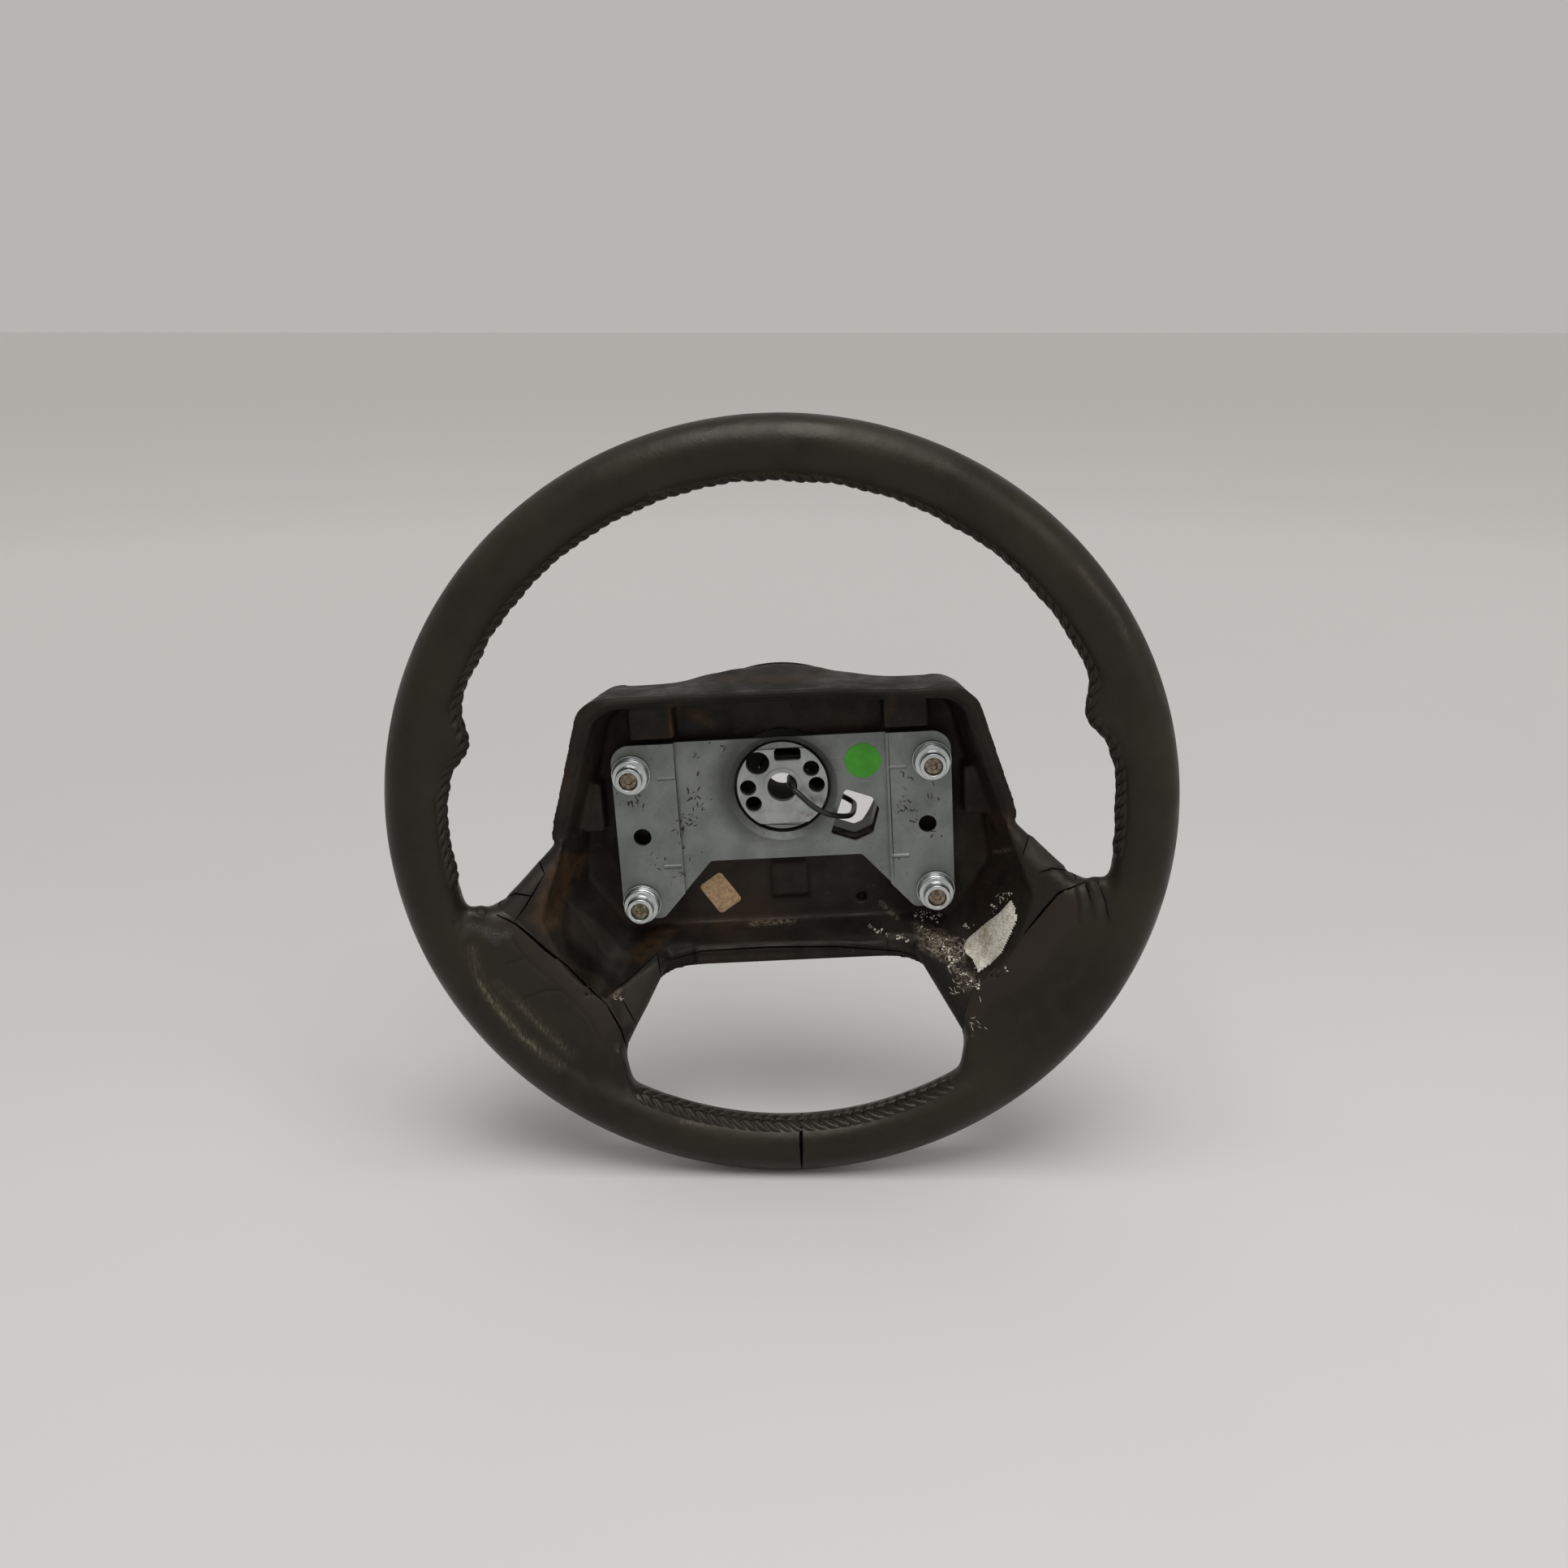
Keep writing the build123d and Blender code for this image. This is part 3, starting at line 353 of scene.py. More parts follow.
def make_hub_steel():
    material, tree, shader = new_finish("turned_steel", Specular_IOR_Level=0.3)
    place = object_place(tree)
    rings = tree.nodes.new("ShaderNodeTexWave")
    rings.wave_type = "RINGS"
    rings.rings_direction = "Y"
    rings.inputs["Scale"].default_value = 420
    rings.inputs["Distortion"].default_value = 1.2
    rings.inputs["Detail"].default_value = 3
    tree.links.new(place, rings.inputs["Vector"])
    tones = level(tree, cloud(tree, place, 90, 5), 0.3, 0.7)
    colour = mix_colours(tree, tones, (0.30, 0.315, 0.315), (0.42, 0.43, 0.425))
    rust = times(tree, level(tree, cloud(tree, place, 230, 7, 0.7), 0.5, 0.66), near(tree, (16, 0, -15), 17, 3))
    colour = tint(tree, colour, rust, 0.7, (0.16, 0.085, 0.04))
    # Painted shade: the bores, holes and all that lies behind the hub's front face are darker and dull, without metal
    # shine.
    depth = tree.nodes.new("ShaderNodeSeparateXYZ")
    tree.links.new(place, depth.inputs["Vector"])
    inside = level(tree, depth.outputs["Y"], 0.9 * MM, 2.6 * MM)
    colour = mix_colours(tree, inside, colour, (0.012, 0.010, 0.008))
    tree.links.new(colour, shader.inputs["Base Color"])
    tree.links.new(span(tree, inside, 0.9, 0.0), shader.inputs["Metallic"])
    sheen = span(tree, cloud(tree, place, 140, 4), 0.28, 0.46)
    tree.links.new(sum_up(tree, "ADD", sheen, times(tree, inside, 0.6)), shader.inputs["Roughness"])
    raise_bumps(tree, shader, ((rings.outputs["Fac"], 0.10, 0.05), (rust, 0.3, 0.1)))
    return material


ZINC_PLATE, BRIGHT_ZINC, HUB_STEEL = make_zinc_plate(), make_bright_zinc(), make_hub_steel()
print("made", ZINC_PLATE.name, BRIGHT_ZINC.name, HUB_STEEL.name)

# %% [markdown]
# The small finishes follow the same pattern: a base with two tones, a mask for wear, and a bump. Rusty screws,
# drawn spring wire, black dipped frame steel, brass, moulded insulators, waxed thread, the lead's sheath,
# the green film, the aged paper of the bare label, and the pale foam where the skin has torn.

# %% Small finishes
def make_two_tone(name, dark, pale, scale, rough, metallic=0.0, bump=(400, 0.2, 0.1), **sockets):
    """A finish of two clouded tones with an even bump."""
    material, tree, shader = new_finish(name, Metallic=metallic, **sockets)
    place = object_place(tree)
    tones = level(tree, cloud(tree, place, scale, 6, 0.65), 0.32, 0.70)
    tree.links.new(mix_colours(tree, tones, dark, pale), shader.inputs["Base Color"])
    tree.links.new(span(tree, cloud(tree, place, scale * 1.7, 4), rough[0], rough[1]), shader.inputs["Roughness"])
    raise_bumps(tree, shader, ((cloud(tree, place, bump[0], 4), bump[1], bump[2]),))
    return material


RUSTY_SCREW = make_two_tone("rusty_screw", (0.055, 0.034, 0.020), (0.36, 0.30, 0.22), 560, (0.35, 0.6), 0.8)
SPRING_WIRE = make_two_tone("drawn_wire", (0.22, 0.22, 0.22), (0.38, 0.38, 0.37), 160, (0.25, 0.42), 1.0)
FRAME_STEEL = make_two_tone("dipped_steel", (0.018, 0.018, 0.018), (0.040, 0.036, 0.032), 70, (0.35, 0.55), 0.2)
BRASS = make_two_tone("contact_brass", (0.42, 0.30, 0.12), (0.62, 0.48, 0.22), 90, (0.22, 0.4), 1.0)
INSULATOR = make_two_tone("moulded_insulator", (0.014, 0.014, 0.014), (0.026, 0.026, 0.025), 60, (0.4, 0.55))
THREAD = make_two_tone("waxed_thread", (0.006, 0.006, 0.0055), (0.016, 0.015, 0.013), 900, (0.5, 0.7),
                       bump=(5200, 0.5, 0.1))
SHEATH = make_two_tone("lead_sheath", (0.006, 0.006, 0.006), (0.013, 0.013, 0.013), 120, (0.32, 0.46))
GREEN_FILM = make_two_tone("green_film", (0.030, 0.245, 0.004), (0.042, 0.325, 0.006), 120, (0.38, 0.5),
                           bump=(300, 0.1, 0.05))
AGED_PAPER = make_two_tone("aged_paper", (0.24, 0.150, 0.075), (0.45, 0.315, 0.180), 420, (0.7, 0.85),
                           bump=(1300, 0.3, 0.06))
# Painted shade: near black and without shine, for the ribbons laid in slits, creases and grooves.
SLIT_SHADE = make_two_tone("slit_shade", (0.0010, 0.0009, 0.0008), (0.0030, 0.0026, 0.0022), 300, (0.9, 1.0),
                     Specular_IOR_Level=0.0)
# Dark chipped zinc, also used for the painted shade along the plate's folds.
CHIPS_AND_FOLD_SHADE = make_two_tone("chipped_zinc_and_fold_shade", (0.020, 0.018, 0.014), (0.060, 0.050, 0.038), 300, (0.5, 0.7), 0.3)


def make_foam():
    """Pale torn foam: fibres all one way, with yellow brown stains."""
    material, tree, shader = new_finish("torn_foam", Specular_IOR_Level=0.1, Roughness=0.9)
    place = object_place(tree)
    fibres = cloud(tree, object_place(tree, (260, 700, 2100), (0, 0.85, 0)), 1, 4)
    colour = mix_colours(tree, level(tree, fibres, 0.32, 0.66), (0.43, 0.40, 0.33), (0.75, 0.72, 0.64))
    patches = level(tree, cloud(tree, place, 120, 6, 0.65), 0.42, 0.66)
    stains = sum_up(tree, "ADD", times(tree, patches, 0.6), times(tree, near(tree, (95, -20, -72), 17, 2), 0.5))
    colour = tint(tree, colour, stains, 0.75, (0.22, 0.165, 0.088))
    tree.links.new(colour, shader.inputs["Base Color"])
    raise_bumps(tree, shader, ((fibres, 0.7, 0.5), (cloud(tree, place, 480, 5), 0.5, 0.5)))
    return material


FOAM = make_foam()
print("made eleven small finishes and", FOAM.name)

# %% [markdown]
# The lead is a real cord, so it is one smooth spline through the same points as its solid in the CAD model.
# It starts at its insulated end in the hub's bore, arches over the hub and dives into the wiring hole.

# %% Horn lead
LEAD_ROUTE = ((4.6, -2.0, 1.6), (4.6, -7.0, 1.6), (9.0, -10.0, -1.8), (15.2, -10.8, -8.2),
              (21.6, -9.2, -12.8), (27.4, -5.4, -15.8), (33.2, 1.0, -18.4), (35.8, 10.0, -20.0),
              (36.9, 20.0, -20.2), (37.0, 29.0, -19.67), (29.58, 29.0, -15.73))
LEAD_DIAMETER = 2.9 * MM

curve = bpy.data.curves.new("horn_lead_line", "CURVE")
curve.dimensions = "3D"
curve.bevel_depth = LEAD_DIAMETER / 2
curve.bevel_resolution = 5
curve.resolution_u = 16
curve.use_fill_caps = True
spline = curve.splines.new("NURBS")
spline.points.add(len(LEAD_ROUTE) - 1)
for point, place in zip(spline.points, LEAD_ROUTE):
    point.co = (*(Vector(place) * MM), 1.0)
spline.order_u = 3
spline.use_endpoint_u = True
curve.materials.append(SHEATH)
lead = shown("horn_lead_cord", curve)
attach(lead, "wheel")
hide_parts("horn_lead")

# %% [markdown]
# Leather pulled over a foam core has no sharp joins: rim, spokes and thumb rests flow into each other. The CAD
# solids are copied and melted into one skin by a voxel remesh, then smoothed. A boolean union would leave hard
# edges at every join, and sculpting by hand could not be repeated by a script.

# %% One skin over rim, spokes and tray
RIM_FORWARD = -50.0 * MM
WEB_THICKNESS = 13.0 * MM
WEB_REACH = 15.0 * MM
WEB_ROUNDS = 24
MERGE = 0.01 * MM
WEBS = ((152.4, -44.0, None, 6.5), (92.4, -131.4, 169.0, 14.0))


def smooth(bm, verts, rounds):
    """Evens out some points, each round moving them half way to the middle of their neighbours."""
    for _ in range(rounds):
        bmesh.ops.smooth_vert(bm, verts=verts, factor=0.5, use_axis_x=True, use_axis_y=True, use_axis_z=True)


def melted(names, voxel, rounds, webs=()):
    """One smooth closed skin around copies of some CAD nodes, with webs (x, z, heading, size) in some corners.
    A web with no heading is a ball, and the others have three sides."""
    bm = bmesh.new()
    for name in names:
        bm.from_mesh(nodes[name].data)
    for x, z, heading, size in webs:
        for side in (1, -1):
            corner = Vector((x, 0, z)) * MM + Vector((0, RIM_FORWARD, 0))
            turn = Matrix.Diagonal((side, 1, 1, 1)) @ Matrix.Translation(corner)
            if heading is None:
                bmesh.ops.create_icosphere(bm, subdivisions=3, radius=size * MM, matrix=turn)
                continue
            turn = turn @ Matrix.Rotation(-radians(heading + 90), 4, "Y") @ Matrix.Rotation(radians(90), 4, "X")
            bmesh.ops.create_cone(bm, cap_ends=True, segments=3, radius1=size * MM, radius2=size * MM,
                                  depth=WEB_THICKNESS, matrix=turn)
    bmesh.ops.recalc_face_normals(bm, faces=bm.faces)
    bmesh.ops.remove_doubles(bm, verts=bm.verts, dist=MERGE)
    mesh = bpy.data.meshes.new("melt")
    bm.to_mesh(mesh)
    bm.free()
    block = shown("melt", mesh)
    remesh = block.modifiers.new("remesh", "REMESH")
    remesh.mode = "VOXEL"
    remesh.voxel_size = voxel
    skin = bpy.data.meshes.new_from_object(block.evaluated_get(bpy.context.evaluated_depsgraph_get()))
    bpy.data.objects.remove(block)
    bm = bmesh.new()
    bm.from_mesh(skin)
    bpy.data.meshes.remove(skin)
    smooth(bm, bm.verts, rounds)
    for x, z, _, _ in webs:
        around = [vert for vert in bm.verts if hypot(abs(vert.co.x) - x * MM, vert.co.z - z * MM) < WEB_REACH]
        smooth(bm, around, WEB_ROUNDS)
    return bm


def finished_piece(bm, name, material, body, *replaced, smooth_angle=40):
    """Turns a bmesh into a piece that rides on a body and stands for some CAD nodes."""
    mesh = bpy.data.meshes.new(name)
    bm.to_mesh(mesh)
    bm.free()
    mesh.shade_smooth()
    mesh.set_sharp_from_angle(angle=radians(smooth_angle))
    mesh.materials.append(material)
    piece = shown(name, mesh)
    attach(piece, body)
    for node in replaced:
        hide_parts(node)
    return piece


SKIN_VOXEL = 1.4 * MM
wheel_skin = melted(("leather_cover", "rim_core", "moulded_body", "spoke_frame", "rim_ring"), SKIN_VOXEL, 5, WEBS)
print("wheel skin faces", len(wheel_skin.faces))

# %% [markdown]
# Smoothing shrinks a round section a little. The rim's true section is known, a circle in front and a slightly
# flat ellipse behind, so points that are nearly on it are moved onto it, which gives clean highlights.

# %% True section of the rim
RIM_RADIUS = 178.0 * MM
GRIP_RADIUS = 14.5 * MM
GRIP_BACK = 13.6 * MM
SOFT_ZONES = ((2.0, 30.0), (-66.0, -8.0))
SOFT_EDGE = 4 * MM
NEARLY_ON, FADE = 0.09, 0.05


def clamp(value):
    """A value kept between 0 and 1."""
    return max(0.0, min(1.0, value))


def section_share(co):
    """Where a point lies in the rim's section: 1 on its surface, less inside."""
    out = hypot(co.x, co.z) - RIM_RADIUS
    deep = co.y - RIM_FORWARD
    return hypot(out / GRIP_RADIUS, deep / (GRIP_BACK if deep > 0 else GRIP_RADIUS))


moved = 0
for vert in wheel_skin.verts:
    share = section_share(vert.co)
    angle = atan2(vert.co.z, vert.co.x)
    pull = clamp((NEARLY_ON - abs(1 - share)) / FADE)
    if any(low < degrees(atan2(vert.co.z, abs(vert.co.x))) < high for low, high in SOFT_ZONES):
        pull *= clamp((hypot(vert.co.x, vert.co.z) - RIM_RADIUS) / SOFT_EDGE + 1)
    if pull > 0 and share > 0.5:
        middle = Vector((cos(angle) * RIM_RADIUS, RIM_FORWARD, sin(angle) * RIM_RADIUS))
        vert.co = vert.co.lerp(middle + (vert.co - middle) / share, pull)
        moved += 1
print("points set on the rim's section", moved)

# %% [markdown]
# On each spoke the leather ends along a bent line, where its edge is pushed into a slit in the foam. The skin is
# cut along that line with bisect_plane, the part on the tray's side is deleted, and the free edge is turned in.

# %% Leather cover, cut along the tuck lines
TUCK_LINE = ((118.0, 80.0), (130.0, 20.0), (149.0, -37.0), (134.0, -47.0), (123.0, -61.0), (108.0, -80.0),
             (92.5, -94.0), (87.0, -111.0), (86.0, -126.0))
TURN_IN = 2.2 * MM
TUCK_INNER = 80 * MM
CUT_REACH, CUT_MERGE = 4 * MM, 0.05 * MM
tuck_outline = [Vector((x, 0, z)) * MM for x, z in TUCK_LINE]
tuck_outline += [Vector((-co.x, 0, co.z)) for co in reversed(tuck_outline)]


def inside_tuck(x, z):
    """True on the tray's side of the tuck lines."""
    crossings = 0
    for start, end in zip(tuck_outline, tuck_outline[1:] + tuck_outline[:1]):
        if (start.z > z) != (end.z > z):
            if x < start.x + (z - start.z) / (end.z - start.z) * (end.x - start.x):
                crossings += 1
    return crossings % 2 == 1


def cut_along(bm, start, end):
    """Adds edges where the upright plane through two points passes, close to that stretch only."""
    run = end - start
    across = Vector((-run.z, 0, run.x)).normalized()
    faces = []
    for face in bm.faces:
        centre = face.calc_center_median()
        along = (centre - start).dot(run) / run.length_squared
        if abs((centre - start).dot(across)) < CUT_REACH and -0.1 < along < 1.1:
            faces.append(face)
    geometry = set(faces)
    for face in faces:
        geometry.update(face.verts)
        geometry.update(face.edges)
    bmesh.ops.bisect_plane(bm, geom=list(geometry), dist=CUT_MERGE, plane_co=start, plane_no=across)


leather_bm = wheel_skin.copy()
for first, second in zip(tuck_outline, tuck_outline[1:]):
    if abs(first.x) > TUCK_INNER and first.x * second.x > 0:
        cut_along(leather_bm, first, second)
tray_side = []
for face in leather_bm.faces:
    centre = face.calc_center_median()
    if inside_tuck(centre.x, centre.z):
        tray_side.append(face)
bmesh.ops.delete(leather_bm, geom=tray_side, context="FACES")
edges = [edge for edge in leather_bm.edges if edge.is_boundary]
turned = bmesh.ops.extrude_edge_only(leather_bm, edges=edges)["geom"]
leather_bm.normal_update()
for item in turned:
    if isinstance(item, bmesh.types.BMVert):
        neighbours = [edge.other_vert(item) for edge in item.link_edges if edge.other_vert(item) not in turned]
        if neighbours:
            item.co = neighbours[0].co - neighbours[0].normal * TURN_IN
leather_tree = BVHTree.FromBMesh(leather_bm)
leather = finished_piece(leather_bm, "stitched_leather", LEATHER, "wheel", "leather_cover", smooth_angle=60)
print("leather faces", len(leather.data.polygons))

# %% [markdown]
# Round the inside of the rim the two edges of the leather meet in a puckered seam. Thread pulls it into two rows
# of slanted lobes, like a plait. A narrow grid is laid on the leather by casting rays at it, and its height
# follows the lobes. A texture bump would not show at the rim's edge, where the photograph shows scallops.

# %% Puckered seam
STITCH_PITCH = 5.8 * MM
SEAM_HALF = 6.6 * MM
SEAM_STEPS = 26
SEAM_ZONES = ((-10.5, 190.5, -2.4 * MM), (239.5, 300.5, -4.4 * MM))
SEAM_RUN_OUT = 8 * MM
LOBE_SLANT = 0.42
LOBE_SPREAD = 2.2
LOBE_RISE, LOBE_SINK = 2.1, 0.75
GROOVE_DEPTH, GROOVE_HALF = 1.3, 0.55 * MM
SWAY_HEIGHT, SWAY_LENGTH = 1.1, 13 * MM
SEAM_COLUMN = 0.75 * MM
SEAM_SINK = 0.6 * MM
CAST_START = 40 * MM
inner_radius = RIM_RADIUS - GRIP_RADIUS


def seam_point(angle, offset):
    """Point of the leather on the inside of the rim, and the direction out of it."""
    outward = Vector((cos(angle), 0, sin(angle)))
    tilt = offset / GRIP_RADIUS
    start = outward * (inner_radius - CAST_START) + Vector((0, RIM_FORWARD + sin(tilt) * GRIP_RADIUS, 0))
    hit = leather_tree.ray_cast(start, outward)[0]
    if hit is None:
        hit = outward * (RIM_RADIUS - cos(tilt) * GRIP_RADIUS) + Vector((0, start.y, 0))
    return hit, (outward * -cos(tilt) + Vector((0, sin(tilt), 0))).normalized()


def lobe_height(along, offset):
    """Height of the puckered leather over the plain rim, with lobes on both sides of a groove, and its painted shade.
    """
    side = abs(offset) / SEAM_HALF
    turn = along / STITCH_PITCH - LOBE_SLANT * abs(offset) / MM / LOBE_SPREAD
    lobe = abs(cos(pi * turn)) ** 0.45
    fade = max(0.0, 1 - side ** 3)
    groove = exp(-(offset / GROOVE_HALF) ** 2)
    sway = SWAY_HEIGHT * fade * noise.noise(Vector((along / SWAY_LENGTH, 0.4, 2.7)))
    height = (fade * (LOBE_RISE * lobe - LOBE_SINK) + sway - GROOVE_DEPTH * groove - 0.25 * side ** 4) * MM
    return height, min(1.0, fade * max(0.0, 1.25 - 1.5 * lobe) + groove)


# Painted light on the seam: painted shade in its valleys and groove, and a painted highlight on the tops of its lobes.
seam_bm = bmesh.new()
shade_layer = seam_bm.verts.layers.float.new("dark")
lobe_highlight_layer = seam_bm.verts.layers.float.new("painted_highlight")
for zone_start, zone_end, forward in SEAM_ZONES:
    length = radians(zone_end - zone_start) * inner_radius
    columns = int(length / SEAM_COLUMN)
    grid = bmesh.ops.create_grid(seam_bm, x_segments=columns, y_segments=SEAM_STEPS, size=0.5)["verts"]
    for vert in grid:
        along = (vert.co.x + 0.5) * length
        offset = vert.co.y * 2 * SEAM_HALF
        point, out = seam_point(radians(zone_start) + along / inner_radius, offset + forward)
        height, shade = lobe_height(along, offset)
        ends = min(1.0, min(along, length - along) / SEAM_RUN_OUT)
        vert.co = point + out * (height * ends - SEAM_SINK * (1 - ends))
        vert[shade_layer] = shade
        vert[lobe_highlight_layer] = max(0.0, 0.45 - shade) * (1 - (abs(offset) / SEAM_HALF) ** 2)
bmesh.ops.recalc_face_normals(seam_bm, faces=seam_bm.faces)
seam_bm.normal_update()
sample = seam_bm.faces[0]
if sample.normal.dot(Vector((sample.calc_center_median().x, 0, sample.calc_center_median().z))) > 0:
    bmesh.ops.reverse_faces(seam_bm, faces=seam_bm.faces)
seam = finished_piece(seam_bm, "puckered_seam", LEATHER, "wheel", smooth_angle=80)
print("seam faces", len(seam.data.polygons))

# %% [markdown]
# The thread shows as short black strands in the slanted valleys between the lobes. Each strand is a chain of small
# six-sided rods, laid end to end along its valley, and its last end is sunk into the leather.

# %% Stitches
STRAND_RADIUS = 0.52 * MM
STRAND_REACH = 3.6 * MM
STRAND_RINGS = 6
STRAND_LIFT = 0.15 * MM
ROD_OVERLAP = 1.12
thread_bm = bmesh.new()
strands = 0
for zone_start, zone_end, forward in SEAM_ZONES:
    length = radians(zone_end - zone_start) * inner_radius
    for number in range(1, int(length / STITCH_PITCH) - 1):
        for side in (1, -1):
            rings = []
            for step in range(STRAND_RINGS):
                offset = side * STRAND_REACH * step / (STRAND_RINGS - 1)
                along = STITCH_PITCH * (number + 0.5 + LOBE_SLANT * abs(offset) / MM / LOBE_SPREAD)
                point, out = seam_point(radians(zone_start) + along / inner_radius, offset + forward)
                sink = STRAND_RADIUS if step == STRAND_RINGS - 1 else 0.0
                rings.append(point + out * (lobe_height(along, offset)[0] + STRAND_LIFT - sink))
            for before, after in zip(rings, rings[1:]):
                run = after - before
                turn = run.to_track_quat("Z", "Y").to_matrix().to_4x4()
                bmesh.ops.create_cone(thread_bm, segments=6, radius1=STRAND_RADIUS, radius2=STRAND_RADIUS,
                                      depth=run.length * ROD_OVERLAP,
                                      matrix=Matrix.Translation((before + after) / 2) @ turn)
            strands += 1
thread = finished_piece(thread_bm, "seam_thread", THREAD, "wheel", "seam_stitching", smooth_angle=60)
print("strands", strands, "faces", len(thread.data.polygons))

# %% [markdown]
# The tray is melted in the same way from the moulding alone, with finer voxels, so that its blocks and its lip
# keep their form but lose their knife edges. The top swells to a wide, soft hump over the hub's collar. What lies
# under the leather is never seen and is deleted.

# %% Moulded tray
TRAY_VOXEL = 1.25 * MM
UNDER_LEATHER = 7 * MM
WELL_RADIUS = 28.6 * MM
BOSS_RADIUS = 10.6 * MM
FLOOR_FRONT, FLOOR_BAND = 5.0 * MM, 1.5 * MM
HUMP_FOOT, HUMP_RISE = 44 * MM, 9 * MM
HUMP_FRONT, HUMP_DEPTH = -26 * MM, 32 * MM
HUMP_HALF, HUMP_ROUNDS = 78 * MM, 30
TAIL_LEFT, TAIL_RIGHT = 4.6 * MM, 2.2 * MM
TAIL_PLACE, TAIL_WIDTH = 31 * MM, 13 * MM
SHOULDER_DROP, SHOULDER_START, SHOULDER_RUN = 2.6 * MM, 25 * MM, 35 * MM
WELL_BACK = 11 * MM
TRAY_REACH = 96 * MM
BOSS_PLACES = ((77.0, 12.3), (-77.0, 12.3), (77.0, -58.5), (-77.0, -58.5))

tray_bm = melted(("moulded_body", "spoke_frame"), TRAY_VOXEL, 2, WEBS[:1])
hump = []
for vert in tray_bm.verts:
    upper = clamp((vert.co.z - HUMP_FOOT) / HUMP_RISE)
    back = clamp((vert.co.y - HUMP_FRONT) / HUMP_DEPTH)
    tail = TAIL_LEFT if vert.co.x < 0 else TAIL_RIGHT
    vert.co.z += tail * exp(-((abs(vert.co.x) - TAIL_PLACE) / TAIL_WIDTH) ** 2) * upper * back
    vert.co.z -= SHOULDER_DROP * clamp((vert.co.x - SHOULDER_START) / SHOULDER_RUN) * upper
    if upper > 0.3 and back > 0.05 and abs(vert.co.x) < HUMP_HALF:
        hump.append(vert)
smooth(tray_bm, hump, HUMP_ROUNDS)
hidden = []
for face in tray_bm.faces:
    co = face.calc_center_median()
    reach = hypot(co.x, co.z)
    under = not inside_tuck(co.x * (1 - UNDER_LEATHER / reach), co.z * (1 - UNDER_LEATHER / reach))
    in_well = reach < WELL_RADIUS and co.y < WELL_BACK
    on_boss = abs(co.y - FLOOR_FRONT) < FLOOR_BAND and any(
        hypot(co.x - x * MM, co.z - z * MM) < BOSS_RADIUS for x, z in BOSS_PLACES)
    if in_well or on_boss or (under and reach > TRAY_REACH):
        hidden.append(face)
bmesh.ops.delete(tray_bm, geom=hidden, context="FACES")
tray = finished_piece(tray_bm, "moulded_tray", POLYURETHANE, "wheel", "moulded_body", smooth_angle=50)
print("tray faces", len(tray.data.polygons))

# %% [markdown]
# Wear, painted shade and painted highlights are laid on the two skins as attributes, which the finishes above read.
# Each mark is a line or an outline given by where it is seen from the camera, so it lands on the same place of the
# wheel as in the photograph.
# An image texture would need unwrapping, and could not be made from words alone.

# %% Painted wear, shade and highlights
def distance_to(pixels, points):
    """Distance of every pixel place to a line through some points."""
    nearest = numpy.full(len(pixels), 1e9)
    for start, end in zip(points, points[1:]):
        first = numpy.array(start, float)
        run = numpy.array(end, float) - first
        along = numpy.clip((pixels - first) @ run / (run @ run), 0, 1)
        nearest = numpy.minimum(nearest, numpy.linalg.norm(pixels - first - along[:, None] * run, axis=1))
    return nearest


def line_mask(pixels, points, width):
    """1 on a line, fading to 0 at the width."""
    share = numpy.clip(1 - distance_to(pixels, points) / width, 0, 1)
    return share * share * (3 - 2 * share)


def area_mask(pixels, points, soft):
    """1 inside an outline, with a soft edge."""
    inside = numpy.zeros(len(pixels), bool)
    closed = (*points, points[0])
    for start, end in zip(closed, closed[1:]):
        if start[1] != end[1]:
            crosses = (start[1] > pixels[:, 1]) != (end[1] > pixels[:, 1])
            at = start[0] + (pixels[:, 1] - start[1]) / (end[1] - start[1]) * (end[0] - start[0])
            inside ^= crosses & (pixels[:, 0] < at)
    edge = distance_to(pixels, closed)
    return numpy.clip(0.5 + numpy.where(inside, edge, -edge) / (2 * soft), 0, 1)


def paint(piece, name, marks, relief=0.0):
    """Attribute from marks, each (mask, points, width, strength), on what faces the camera, raised by a relief."""
    count = len(piece.data.vertices)
    places = numpy.empty(count * 3, numpy.float32)
    piece.data.vertices.foreach_get("co", places)
    places = places.reshape(-1, 3)
    normals = numpy.empty(count * 3, numpy.float32)
    piece.data.vertex_normals.foreach_get("vector", normals)
    normals = normals.reshape(-1, 3)
    facing = ((numpy.array(CAMERA_PLACE) - places) * normals).sum(axis=1) > 0
    pixels = pixels_of(places)
    values = numpy.zeros(count)
    for mask, points, width, strength in marks:
        values = numpy.maximum(values, mask(pixels, points, width) * strength)
    values = (values * facing).astype(numpy.float32)
    attribute = piece.data.attributes.new(name, "FLOAT", "POINT")
    attribute.data.foreach_set("value", values)
    piece.data.vertices.foreach_set("co", (places + normals * values[:, None] * numpy.float32(relief)).ravel())
    piece.data.update()


FLAPS = ((area_mask, ((665, 1062), (671, 1078), (655, 1103), (624, 1104), (640, 1088)), 3, 0.5),
         (area_mask, ((624, 1107), (655, 1107), (634, 1135), (612, 1127)), 3, 0.4),
         (area_mask, ((810, 1175), (814, 1202), (797, 1240), (782, 1262), (766, 1266), (766, 1230), (777, 1205)),
          3, 0.7),
         (area_mask, ((1270, 1027), (1300, 1042), (1320, 1070), (1300, 1069), (1280, 1074), (1260, 1055)), 3, 0.9),
         (line_mask, ((1329, 1095), (1336, 1122)), 6, 0.8), (line_mask, ((1345, 1089), (1355, 1130)), 6, 0.9))
